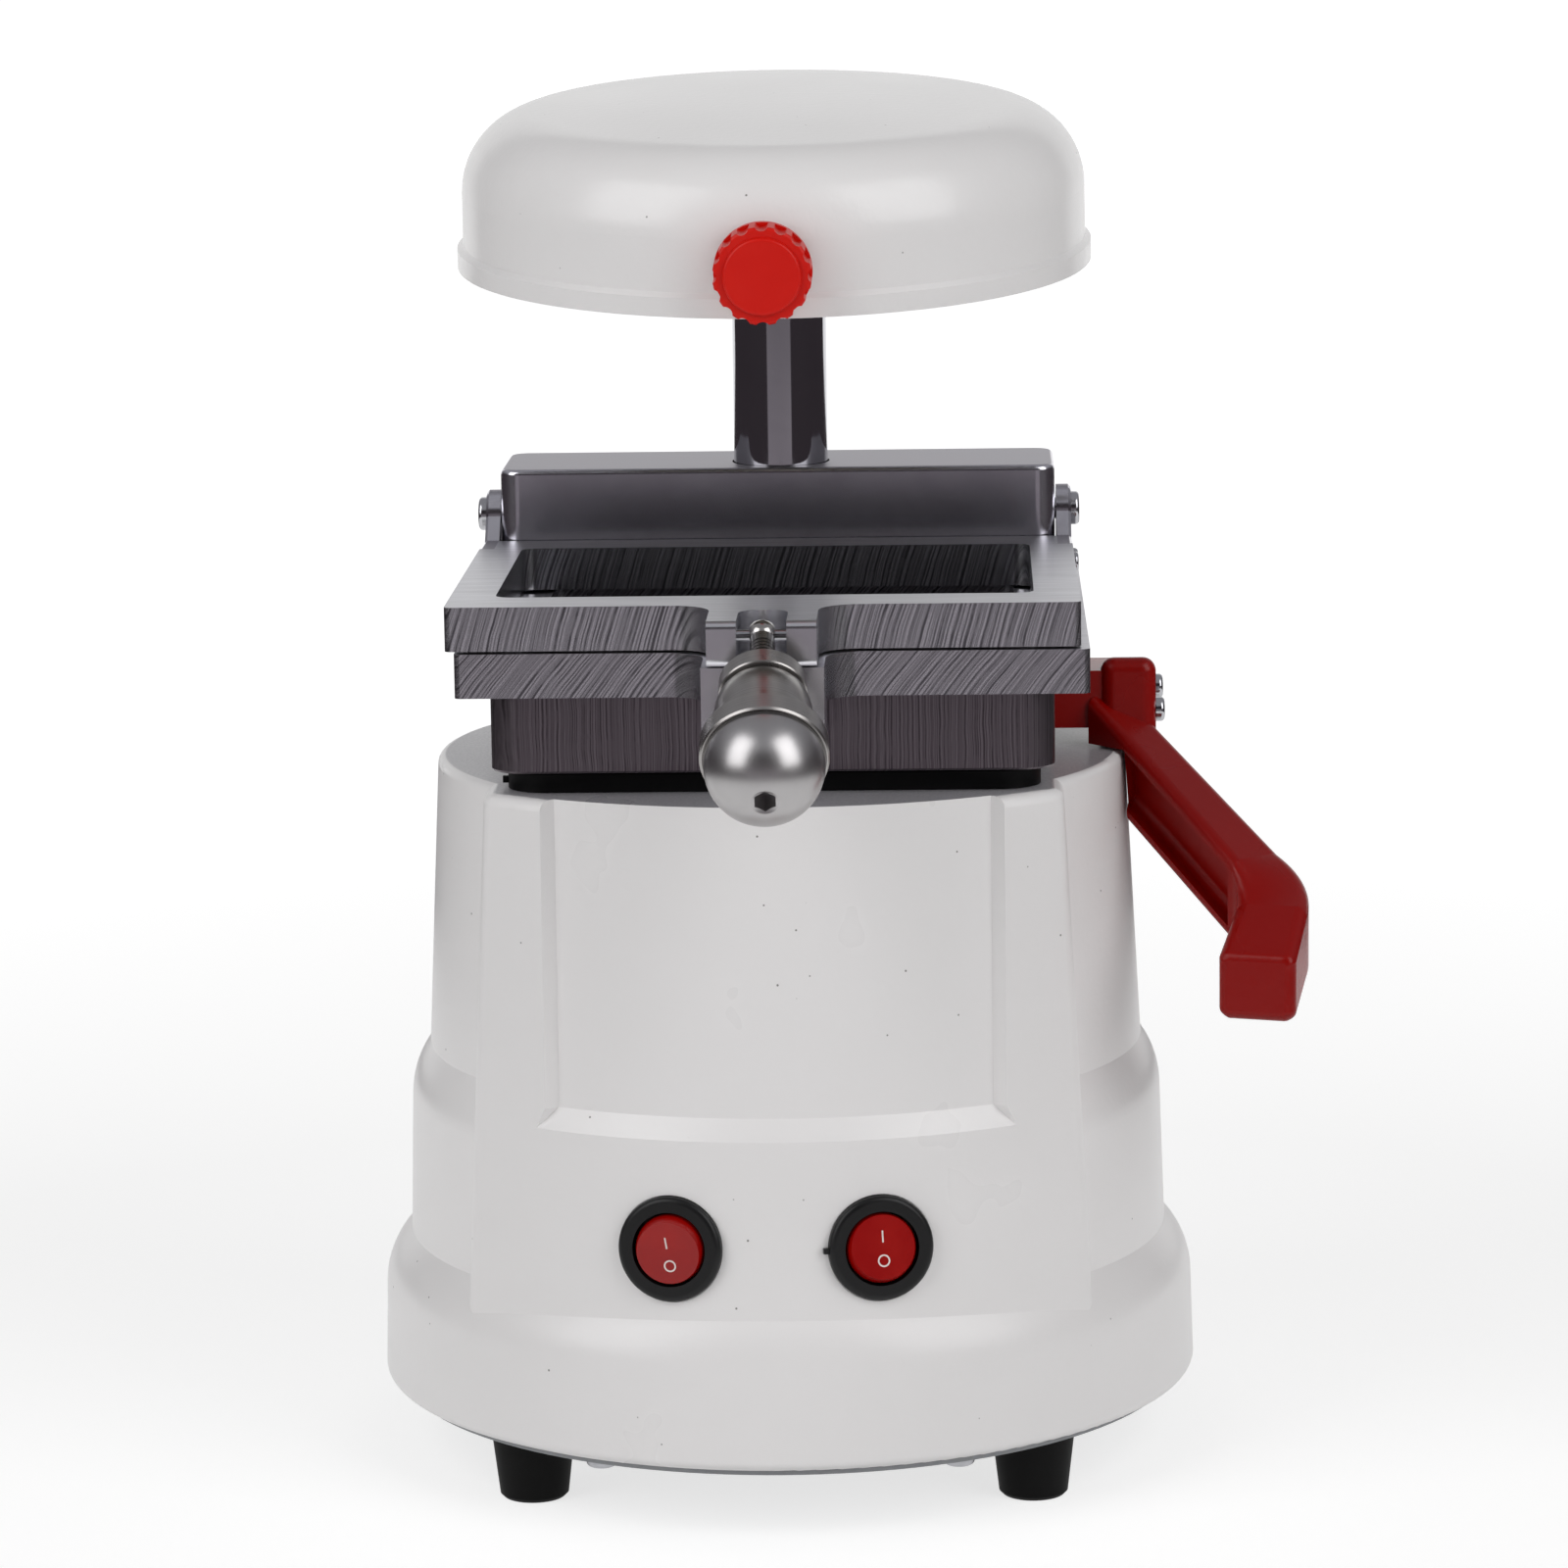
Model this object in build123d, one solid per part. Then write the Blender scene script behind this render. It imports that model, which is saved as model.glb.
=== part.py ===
from build123d import *
import math
import os

# Dental vacuum former, in millimetres. +Z is up, the front is -Y, and the
# origin is on the table under the middle of the round housing.

# ---- driving dimensions -------------------------------------------------

# Round cast housing
BASE_Z = 16.0            # lower edge of the housing above the table
TOP_Z = 158.5            # flat top of the housing
BASE_R = 92.8            # radius at the lower edge
SKIRT_R = 92.2           # radius below the lower shoulder
SKIRT_Z = 36.5
WAIST_R = 86.2           # middle drum, above the lower shoulder
WAIST_Z = 49.5
CHEST_R = 85.2           # middle drum, below the upper shoulder
CHEST_Z = 81.0
NECK_R = 80.9            # upper drum, above the upper shoulder
NECK_Z = 92.5
TOP_R = 77.5
WALL = 4.0
ROOF = 6.5               # thickness of the housing's top wall
RIM_ROUND = 2.0

# Raised front with its switch panel and sunk middle field
FRONT_ARC_R = 98.0
FRONT_TOP_Y = 80.9       # distance of the front from the axis at the top
FRONT_LOW_Y = 87.9       # and at its foot
FRONT_TOP_HALF = 62.8
FRONT_LOW_HALF = 68.6
FRONT_LOW_Z = 42.0
FRONT_EDGE_ROUND = 4.0
FIELD_DEPTH = 3.0
FIELD_HALF = 47.0
FIELD_LOW_Z = 91.5
FIELD_BEVEL_RISE = 4.5   # height of the sloping lower border
FIELD_BEVEL_RUN = 5.0    # width of the sloping borders

# Bottom cover and feet
COVER_R = 89.0
COVER_T = 1.6
COVER_SCREW_R = 83.0
COVER_SCREW_AZIMUTHS = (62, 118, 242, 298)
FOOT_RADIUS = 78.2       # feet stand on this circle, at the four diagonals
FOOT_TOP_R = 9.2
FOOT_LOW_R = 7.6
GLAND_Z = 30.0           # lead inlet in the rear wall
GLAND_R = 6.0

# Rocker switches
SWITCH_X = 22.6
SWITCH_Z = 63.5
BEZEL_R = 11.5
BEZEL_T = 2.2
SWITCH_HOLE_R = 10.1
ROCKER_R = 7.75          # ball-shaped rocker
ROCKER_FACE = 3.5        # flat face above its pivot
ROCKER_TILT = 9.0
HEATING_TURN = 8.0       # the left switch sits slightly turned in its hole
SEAT_SINK = 0.6          # the bezels sit on flats faced this deep into the panel
ROCKER_DROP = 0.4        # pivot of a rocker below the back of its bezel

# Column
COLUMN_X = -1.0
COLUMN_Y = 55.0
COLUMN_R = 11.0
SPIGOT_R = 8.0
COLUMN_TOP_Z = 279.0     # shoulder that carries the heater head
SPIGOT_TOP_Z = 298.0
COLUMN_BORE_R = 4.0

# Suction platform, gasket, chamber skirt
FRAME_Y = -11.5          # middle of the chamber and of the heater, front to back
GASKET_H = 4.8
GASKET_HALF_X = 58.0
GASKET_HALF_Y = 46.5
GASKET_W = 7.0
SKIRT_HALF_X = 61.0
SKIRT_HALF_Y = 51.0
SKIRT_WALL = 8.0
SKIRT_BASE_Z = 163.5
PLATFORM_HALF_X = 47.0
PLATFORM_HALF_Y = 37.5
PLATFORM_T = 2.5

# Sheet frame
PLATE_T = 9.6
LOWER_Z = 180.6
PLATE_GAP = 0.6
FRONT_Y = -66.0          # front edge of both plates
PLATE_HALF = 68.2
LOWER_X = 0.3            # middle of the lower plate
UPPER_X = -1.6           # the upper plate sits a little to the left
WINDOW_HALF_X = 58.3
WINDOW_FRONT_Y = -51.5
WINDOW_BACK_Y = 27.0
TONGUE_HALF = 11.6
TONGUE_SWEEP = 8.5
UPPER_TONGUE_Y = -90.4
LOWER_TONGUE_HALF = 13.0
LOWER_TONGUE_Y = -87.6
LOWER_TONGUE_Z = 172.0
SLOT_W = 10.6
SLOT_END_Y = -72.5

# Carriage crossbar
BAR_X = -1.6
BAR_HALF = 64.4
BAR_FRONT_Y = 41.0
BAR_BACK_Y = 76.0
BAR_TOP_Z = 216.8
BAR_CORNER = 4.5
BUSH_L = 9.0             # guide bushes at both ends of the bore
BUSH_Z = (LOWER_Z + PLATE_T, BAR_TOP_Z - 3 - BUSH_L)

# Hinge of the upper plate
HINGE_Y = 52.0
HINGE_Z = 205.4
STRAP_T = 3.4
STRAP_R = 5.6
STRAP_GAP = 0.4
STRAP_FRONT_Y = 27.0

# Swing clamp
CLAMP_X = -0.9           # middle of the fork and of both slots
CLAMP_LEAN = 0.034       # the slack stud leans this much sideways
CLAMP_Y = -84.0
CLAMP_Z = 196.6
CLAMP_DROOP = 28.0       # stud points this far below the horizontal
STUD_R = 2.65
COLLAR_AT = 9.0          # from the stud's pivot to the seat of the collar
KNOB_BALL_AT = 44.6      # from the stud's pivot to the middle of the ball
BALL_R = 12.6
KNURL_TEETH = 96
KNURL_DEPTH = 0.45

# Handle
HANDLE_X = 78.4          # middle of the upright block beside the frame
HANDLE_W = 12.4
BLOCK_FRONT_Y = -5.0
BLOCK_BACK_Y = 18.0
BLOCK_TOP_Z = 179.0
GRIP_START = (79.0, -6.3)
GRIP_BEND = (110.2, -41.8)
GRIP_END = (103.9, -62.0)
GRIP_BEND_R = 13.0
GRIP_TOP_Z = 164.6       # upper face of the grip at its start, bend and end
GRIP_BEND_Z = 139.1
GRIP_END_Z = 122.0
GRIP_DEEP = 19.0         # upright thickness at the start and at the end
GRIP_END_DEEP = 15.8
BLOCK_FALL = 11.0        # slope of the block's top towards the rear, degrees

# Heater head
RIM_Z = 268.8            # middle of the dome's lower rim
HEAD_DROOP = 5.6         # the head leans forward by this angle
DOME_R = 69.2
DOME_LIP_R = 70.5
DOME_LIP_H = 5.2
DOME_H = 37.0
DOME_SHOULDER = 17.8
DOME_WALL = 1.8
PAN_R = 47.0
POST_REACH = 40.6        # heater screws stand on this circle
COIL_PITCH = 10.0
COIL_START = 16.0        # radius of the coil's first half turn
COIL_HALVES = 5
COIL_TUBE_R = 2.1
KNOB_H = 10.6            # height of the push knob above the rim
PAN_Y = -9.0             # middle of the reflector pan, in the dome

# Motor
MOTOR_Y = -8.0
MOTOR_R = 42.0
FAN_R = 57.0
FAN_Z = 90.0
FAN_TOP_Z = 120.0
SHAFT_R = 4.0

UPPER_Z = LOWER_Z + PLATE_T + PLATE_GAP
UPPER_TOP_Z = UPPER_Z + PLATE_T


# ---- small helpers ------------------------------------------------------

def tube(outer, inner, z0, z1, x=0.0, y=0.0):
    """Upright ring between two heights."""
    height = z1 - z0
    middle = Pos(x, y, (z0 + z1) / 2)
    ring = Cylinder(outer, height) - Cylinder(inner, height + 1)
    return middle * ring


def disc(radius, z0, z1, x=0.0, y=0.0):
    """Upright cylinder between two heights."""
    return Pos(x, y, (z0 + z1) / 2) * Cylinder(radius, z1 - z0)


def slab(half_x, half_y, corner, z0, z1, x=0.0, y=0.0):
    """Flat plate with rounded upright corners."""
    outline = RectangleRounded(2 * half_x, 2 * half_y, corner)
    return Pos(x, y, z0) * extrude(outline, z1 - z0)


def rod(radius, start, end):
    """Round bar from one point to another."""
    start = Vector(*start)
    run = Vector(*end) - start
    return extrude(Plane(origin=start, z_dir=run) * Circle(radius), run.length)


def turned(points):
    """Solid of revolution about Z from a closed outline of (radius, height)."""
    outline = make_face(Polyline(*[(r, 0, z) for r, z in points], close=True))
    return revolve(outline, Axis.Z)


def around(solid, angles, x=0.0, y=0.0):
    """Copies of a solid turned about an upright axis."""
    spun = [Pos(x, y, 0) * Rot(0, 0, a) * Pos(-x, -y, 0) * solid for a in angles]
    return spun


def pan_screw(head_r, head_h, shank_r, length):
    """Pan-head screw along -Z, its head's underside at the origin."""
    head = extrude(Circle(head_r), head_h)
    head = fillet(head.edges().group_by(Axis.Z)[-1], 0.45 * head_h)
    slot = Pos(0, 0, head_h) * Box(0.22 * head_r, 1.3 * head_r, 0.7 * head_h)
    cross = slot + Rot(0, 0, 90) * slot
    return head + Pos(0, 0, -length / 2) * Cylinder(shank_r, length) - cross


def placed(solid, origin, z_dir, x_dir=(1, 0, 0)):
    """Put a solid's own Z along a direction, from a point."""
    return Plane(origin=origin, x_dir=x_dir, z_dir=z_dir) * solid


# ---- housing ------------------------------------------------------------

def front_y(z):
    """Distance of the raised front from the axis at a height."""
    share = (z - FRONT_LOW_Z) / (TOP_Z - FRONT_LOW_Z)
    return FRONT_LOW_Y + share * (FRONT_TOP_Y - FRONT_LOW_Y)


def front_half(z):
    """Half width of the raised front at a height."""
    share = (z - FRONT_LOW_Z) / (TOP_Z - FRONT_LOW_Z)
    return FRONT_LOW_HALF + share * (FRONT_TOP_HALF - FRONT_LOW_HALF)


def arc_y(x, z, inset=0.0):
    """Y of the front surface, or of one set back behind it."""
    radius = FRONT_ARC_R - inset
    return -front_y(z) + FRONT_ARC_R - math.sqrt(radius ** 2 - x ** 2)


def front_section(z, inset, half):
    """Level outline of the raised front, from its arc back into the drum."""
    corner = arc_y(half, z, inset)
    bow = ThreePointArc((-half, corner, z), (0, arc_y(0, z, inset), z), (half, corner, z))
    back = Polyline((half, corner, z), (half, -20, z), (-half, -20, z), (-half, corner, z))
    return make_face(bow + back)


def raised_front():
    low = front_section(FRONT_LOW_Z, 0, front_half(FRONT_LOW_Z))
    high = front_section(TOP_Z, 0, front_half(TOP_Z))
    body = loft([low, high], ruled=True)
    upright = [e for e in body.edges() if e.length > 60 and e.center().Y < -40
               and abs(e.center().X) > 50 and abs(e.tangent_at(0.5).Z) > 0.9]
    body = fillet(upright, FRONT_EDGE_ROUND)
    rim = [e for e in body.edges() if abs(e.center().Z - TOP_Z) < 0.01 and e.center().Y < -45]
    return fillet(rim, 2.6)


def field_section(z, depth, half):
    """Level outline of the sunk field: its floor arc and sloping sides."""
    beyond = depth + 4.0
    wide = half + beyond * FIELD_BEVEL_RUN / FIELD_DEPTH
    floor_y = arc_y(half, z, depth)
    out_y = arc_y(half, z, depth) - beyond
    floor = ThreePointArc((-half, floor_y, z), (0, arc_y(0, z, depth), z), (half, floor_y, z))
    rest = Polyline((half, floor_y, z), (wide, out_y, z), (wide, -120, z),
                    (-wide, -120, z), (-wide, out_y, z), (-half, floor_y, z))
    return make_face(floor + rest)


def sunk_field():
    past = 1.3
    low_z = FIELD_LOW_Z - past * FIELD_BEVEL_RISE
    low = field_section(low_z, FIELD_DEPTH * (1 - past), FIELD_HALF + past * FIELD_BEVEL_RUN)
    mid = field_section(FIELD_LOW_Z, FIELD_DEPTH, FIELD_HALF)
    high = field_section(TOP_Z + 5, FIELD_DEPTH, FIELD_HALF)
    return loft([low, mid], ruled=True) + loft([mid, high], ruled=True)


def drum_profile():
    """Outer outline of the cast drum, with its two rounded shoulders."""
    low = Polyline((NECK_R, NECK_Z), (TOP_R, TOP_Z), (0, TOP_Z), (0, BASE_Z), (BASE_R, BASE_Z),
                   (SKIRT_R, SKIRT_Z))
    shoulder = ThreePointArc((SKIRT_R, SKIRT_Z), (SKIRT_R - 1.9, SKIRT_Z + 7.8), (WAIST_R, WAIST_Z))
    waist = Line((WAIST_R, WAIST_Z), (CHEST_R, CHEST_Z))
    collar = ThreePointArc((CHEST_R, CHEST_Z), (CHEST_R - 1.4, CHEST_Z + 6.6), (NECK_R, NECK_Z))
    outline = make_face(low + shoulder + waist + collar)
    corners = [v for v in outline.vertices() if v.X > 60 and (v.Y < BASE_Z + 1 or v.Y > TOP_Z - 1)]
    return Plane.XZ * fillet(corners, RIM_ROUND)


def drum_cavity():
    """Inside of the drum, open at the bottom."""
    roof_z = TOP_Z - ROOF
    return turned([(0, BASE_Z - 1), (BASE_R - WALL, BASE_Z - 1), (SKIRT_R - WALL, SKIRT_Z),
                   (WAIST_R - WALL, WAIST_Z), (CHEST_R - WALL, CHEST_Z),
                   (NECK_R - WALL, NECK_Z), (TOP_R - WALL, roof_z), (0, roof_z)])


def front_cavity():
    """Inside of the raised front, behind its wall."""
    inset = FIELD_DEPTH + WALL
    low = front_section(WAIST_Z, inset, front_half(WAIST_Z) - 6)
    high = front_section(TOP_Z - ROOF, inset, front_half(TOP_Z) - 6)
    return loft([low, high], ruled=True)


def switch_plane(side):
    """Local plane of a switch on the panel, Z out of the panel."""
    x = side * SWITCH_X
    swing = math.asin(x / FRONT_ARC_R)
    draft = (FRONT_LOW_Y - FRONT_TOP_Y) / (TOP_Z - FRONT_LOW_Z)
    out = Vector(math.sin(swing), -math.cos(swing), draft)
    across = Vector(math.cos(swing), math.sin(swing), 0)
    turn = HEATING_TURN if side < 0 else 0
    seat = Plane(origin=(x, arc_y(x, SWITCH_Z), SWITCH_Z), x_dir=across, z_dir=out)
    return seat * Pos(0, 0, -SEAT_SINK) * Rot(0, 0, turn)


def mount_posts():
    """Posts under the roof that take the motor's long screws."""
    post = disc(4.5, 128, TOP_Z - ROOF + 1, *motor_post())
    return around(post, (0, 120, 240), 0, MOTOR_Y)


def motor_post():
    return 0.0, MOTOR_Y - 61.5


def cover_posts():
    """Posts for the bottom cover's screws, standing against the wall."""
    post = disc(4.5, BASE_Z, 40, COVER_SCREW_R, 0)
    return around(post, COVER_SCREW_AZIMUTHS)


def base_housing():
    shell = revolve(drum_profile(), Axis.Z) + raised_front() - sunk_field()
    shell -= drum_cavity()
    shell -= front_cavity()
    shell += mount_posts()
    shell += cover_posts()
    shell += disc(17, 140, TOP_Z - ROOF + 1, COLUMN_X, COLUMN_Y)
    shell -= disc(SPIGOT_R + 0.1, 130, TOP_Z + 1, COLUMN_X, COLUMN_Y)
    shell -= slab(PLATFORM_HALF_X + 0.2, PLATFORM_HALF_Y + 0.2, 6.2, TOP_Z - 1.5, TOP_Z + 1, 0, FRAME_Y)
    shell -= slab(PLATFORM_HALF_X - 5, PLATFORM_HALF_Y - 5, 5, TOP_Z - 4, TOP_Z, 0, FRAME_Y)
    shell -= disc(20, 140, TOP_Z, 0, MOTOR_Y)
    for side in (-1, 1):
        seat = switch_plane(side)
        shell -= seat * Pos(0, 0, 5) * Cylinder(BEZEL_R + 0.2, 10)
        shell -= seat * Pos(0, 0, -10) * Cylinder(SWITCH_HOLE_R, 24)
    for angle in COVER_SCREW_AZIMUTHS:
        shell -= Rot(0, 0, angle) * disc(1.6, BASE_Z - 1, 30, COVER_SCREW_R, 0)
    for angle in (0, 120, 240):
        hole = disc(2.0, 120, 150, *motor_post())
        shell -= around(hole, (angle,), 0, MOTOR_Y)[0]
    shell -= Pos(0, BASE_R, GLAND_Z) * Rot(90, 0, 0) * Cylinder(GLAND_R, 20)
    return shell


def inlet_gland():
    """Bushing in the rear wall where the mains lead enters."""
    outer = SKIRT_R + 0.65
    plug = tube(GLAND_R - 0.05, 3.4, -7.5, 2.5)
    lip = tube(GLAND_R + 2.6, 3.4, 0, 2.5)
    lip = fillet(lip.edges().group_by(Axis.Z)[-1].sort_by(Edge.length)[-1], 1.2)
    return placed(plug + lip, (0, outer, GLAND_Z), (0, 1, 0))


# ---- bottom cover and feet ----------------------------------------------

def foot_places():
    reach = FOOT_RADIUS / math.sqrt(2)
    return {"front_left": (-reach, -reach), "front_right": (reach, -reach),
            "rear_left": (-reach, reach), "rear_right": (reach, reach)}


def bottom_cover():
    low = BASE_Z - COVER_T
    cover = disc(COVER_R, low, BASE_Z)
    for angle in COVER_SCREW_AZIMUTHS:
        cover -= Rot(0, 0, angle) * disc(2.0, low - 1, BASE_Z + 1, COVER_SCREW_R, 0)
    for x, y in foot_places().values():
        cover -= disc(2.2, low - 1, BASE_Z + 1, x, y)
    vent = Pos(46, 0, 0) * extrude(SlotOverall(34, 4.5), BASE_Z + 1)
    for angle in range(0, 360, 30):
        cover -= Rot(0, 0, angle) * vent
    return cover


def rubber_foot(x, y):
    top = BASE_Z - COVER_T
    body = turned([(0, 0), (FOOT_LOW_R - 0.8, 0), (FOOT_LOW_R, 0.8), (FOOT_TOP_R, top), (0, top)])
    body -= disc(4.4, -1, 7)
    body -= disc(2.2, 6, top + 1)
    return Pos(x, y, 0) * body


def foot_screws():
    top = BASE_Z - COVER_T
    screw = Pos(0, 0, 7) * Rot(180, 0, 0) * pan_screw(3.6, 2.6, 1.95, top - 7 + COVER_T + 6)
    nut = extrude(RegularPolygon(4.0, 6), 3.2) - Pos(0, 0, 1.6) * Cylinder(1.95, 5)
    nuts = Pos(0, 0, BASE_Z) * nut
    return [Pos(x, y, 0) * piece for x, y in foot_places().values() for piece in (screw, nuts)]


def cover_screws():
    screw = Rot(180, 0, 0) * pan_screw(3.4, 2.4, 1.55, 12)
    low = BASE_Z - COVER_T
    return around(Pos(COVER_SCREW_R, 0, low) * screw, COVER_SCREW_AZIMUTHS)


# ---- switches -----------------------------------------------------------

def switch_body(side):
    bezel = extrude(Circle(BEZEL_R), BEZEL_T)
    bezel = fillet(bezel.edges().group_by(Axis.Z)[-1], 1.3)
    barrel = Pos(0, 0, -7.5) * Cylinder(SWITCH_HOLE_R - 0.15, 15)
    body = bezel + barrel
    body -= Pos(0, 0, -ROCKER_DROP) * Sphere(ROCKER_R + 0.3)
    body -= Pos(0, 0, 1) * Cylinder(ROCKER_R + 0.35, 6)
    blade = Pos(0, 0, -18) * Box(4.8, 0.8, 7)
    for y in (-6, 0, 6):
        body += Pos(0, y, 0) * blade
    if side > 0:
        body += Pos(-BEZEL_R - 0.3, 0, 0.6) * Box(1.6, 1.2, 1.1)
    return switch_plane(side) * body


def rocker(side):
    """Ball-shaped rocker with a flat face; the left one is off, the right one on."""
    tilt = ROCKER_TILT if side < 0 else -ROCKER_TILT
    ball = Sphere(ROCKER_R)
    ball -= Pos(0, 0, ROCKER_FACE + 10) * Box(30, 30, 20)
    ball -= Pos(0, 0, -4.5 - 10) * Box(30, 30, 20)
    return switch_plane(side) * Pos(0, 0, -ROCKER_DROP) * Rot(tilt, 0, 0) * ball


# ---- column -------------------------------------------------------------

def column():
    bar = disc(COLUMN_R, TOP_Z, COLUMN_TOP_Z)
    bar = chamfer(bar.edges().group_by(Axis.Z)[-1], 0.8)
    bar += disc(SPIGOT_R, 122, SPIGOT_TOP_Z)
    bar -= tube(SPIGOT_R + 1, SPIGOT_R - 1, 287.0, 292.0)
    bar -= disc(COLUMN_BORE_R, 121, SPIGOT_TOP_Z + 1)
    return Pos(COLUMN_X, COLUMN_Y, 0) * bar


def column_washer():
    return tube(14, SPIGOT_R + 0.2, 137.6, 140, COLUMN_X, COLUMN_Y)


def column_nut():
    nut = extrude(RegularPolygon(12, 6, major_radius=False), 9.5)
    nut -= Pos(0, 0, 5) * Cylinder(SPIGOT_R, 12)
    return Pos(COLUMN_X, COLUMN_Y, 128.1) * nut


def thrust_washer():
    return tube(COLUMN_R, SPIGOT_R + 0.1, COLUMN_TOP_Z, COLUMN_TOP_Z + 1, COLUMN_X, COLUMN_Y)


# ---- gasket and platform ------------------------------------------------

def sealing_gasket():
    ring = slab(GASKET_HALF_X, GASKET_HALF_Y, 9, TOP_Z, TOP_Z + GASKET_H, 0, FRAME_Y)
    ring = chamfer(ring.edges().group_by(Axis.Z)[-1], 0.8)
    inner = slab(GASKET_HALF_X - GASKET_W, GASKET_HALF_Y - GASKET_W, 4, TOP_Z - 1,
                 TOP_Z + GASKET_H + 1, 0, FRAME_Y)
    nub = Pos(-GASKET_HALF_X - 0.4, FRAME_Y - GASKET_HALF_Y + 9, TOP_Z + 1.6) * Box(1.6, 1.4, 1.4)
    return ring - inner + nub


def model_platform():
    plate = slab(PLATFORM_HALF_X, PLATFORM_HALF_Y, 6, TOP_Z - 1.5, TOP_Z - 1.5 + PLATFORM_T,
                 0, FRAME_Y)
    holes = [(0, 0)]
    for ring, count in ((1, 6), (2, 12), (3, 18)):
        radius = ring * 9.5
        for k in range(count):
            turn = 2 * math.pi * k / count
            holes.append((radius * math.cos(turn), radius * math.sin(turn)))
    drill = [Pos(x, y + FRAME_Y, TOP_Z) * Cylinder(1.6, 8) for x, y in holes]
    for x in (-41, 41):
        for y in (-31.5, 31.5):
            drill.append(disc(1.7, TOP_Z - 3, TOP_Z + 3, x, y + FRAME_Y))
    return plate - drill


# ---- sheet frame --------------------------------------------------------

def plate_outline(x, tongue_half, tongue_y, slot_end, back_y):
    """Plate with a front tongue, swept into the front edge by concave arcs."""
    depth = back_y - FRONT_Y
    body = Pos(x, FRONT_Y + depth / 2) * RectangleRounded(2 * PLATE_HALF, depth, 1.5)
    reach = FRONT_Y - tongue_y + 10
    tongue = Pos(CLAMP_X, FRONT_Y + 10 - reach / 2) * Rectangle(2 * tongue_half, reach)
    for side in (-1, 1):
        corner = Pos(CLAMP_X + side * (tongue_half + TONGUE_SWEEP / 2), FRONT_Y - TONGUE_SWEEP / 2)
        sweep = corner * Rectangle(TONGUE_SWEEP, TONGUE_SWEEP)
        middle = Pos(CLAMP_X + side * (tongue_half + TONGUE_SWEEP), FRONT_Y - TONGUE_SWEEP)
        tongue += sweep - middle * Circle(TONGUE_SWEEP)
    slot = Pos(CLAMP_X, slot_end - 20) * Rectangle(SLOT_W, 40)
    slot += Pos(CLAMP_X, slot_end) * Circle(SLOT_W / 2)
    return body + tongue - slot


def lower_frame_plate():
    outline = plate_outline(LOWER_X, LOWER_TONGUE_HALF, LOWER_TONGUE_Y, SLOT_END_Y - SLOT_W / 2,
                            BAR_BACK_Y - 1)
    plate = Pos(0, 0, LOWER_Z) * extrude(outline, PLATE_T)
    boss = Pos(CLAMP_X, (LOWER_TONGUE_Y - 63.2) / 2)
    boss *= Rectangle(2 * LOWER_TONGUE_HALF, -63.2 - LOWER_TONGUE_Y)
    boss -= Pos(CLAMP_X, SLOT_END_Y - SLOT_W / 2 - 20) * Rectangle(SLOT_W, 40)
    boss -= Pos(CLAMP_X, SLOT_END_Y - SLOT_W / 2) * Circle(SLOT_W / 2)
    plate += Pos(0, 0, LOWER_TONGUE_Z) * extrude(boss, LOWER_Z - LOWER_TONGUE_Z + 1)
    plate -= slab(SKIRT_HALF_X - SKIRT_WALL, SKIRT_HALF_Y - SKIRT_WALL, 3, LOWER_Z - 1,
                  LOWER_Z + PLATE_T + 1, 0, FRAME_Y)
    plate -= disc(COLUMN_R + 0.5, LOWER_Z - 1, LOWER_Z + PLATE_T + 1, COLUMN_X, COLUMN_Y)
    for x, y in skirt_screw_places():
        plate -= countersink(x, y)
    for x, y in bar_screw_places():
        plate -= disc(2.6, LOWER_Z - 1, LOWER_Z + PLATE_T + 1, x, y)
        plate -= disc(4.6, LOWER_Z - 1, LOWER_Z + 4.5, x, y)
    return plate


def skirt_screw_places():
    return [(sx * 57.0, y) for sx in (-1, 1) for y in (-52.0, 28.0)]


def bar_screw_places():
    return [(BAR_X + dx, BAR_FRONT_Y + 23) for dx in (-52, -26, 26, 52)]


def countersink(x, y):
    top = LOWER_Z + PLATE_T
    return Pos(x, y, 0) * turned([(0, LOWER_Z - 1), (2.2, LOWER_Z - 1), (2.2, top - 2.2),
                                  (4.2, top), (4.2, top + 1), (0, top + 1)])


def skirt_screws():
    top = LOWER_Z + PLATE_T
    screw = turned([(0, top - 22), (1.95, top - 22), (1.95, top - 2.3), (3.9, top - 0.3),
                    (0, top - 0.3)])
    return [Pos(x, y, 0) * screw for x, y in skirt_screw_places()]


def chamber_skirt():
    wall = slab(SKIRT_HALF_X, SKIRT_HALF_Y, 7, SKIRT_BASE_Z, LOWER_Z, 0, FRAME_Y)
    wall = chamfer(wall.edges().group_by(Axis.Z)[0], 0.5)
    wall -= slab(SKIRT_HALF_X - SKIRT_WALL, SKIRT_HALF_Y - SKIRT_WALL, 3, SKIRT_BASE_Z - 1,
                 LOWER_Z + 1, 0, FRAME_Y)
    for x, y in skirt_screw_places():
        wall -= disc(2.0, LOWER_Z - 13, LOWER_Z + 1, x, y)
    for y, z in handle_screw_places():
        wall -= rod(1.55, (SKIRT_HALF_X - 9, y, z), (70, y, z))
    return wall


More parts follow.
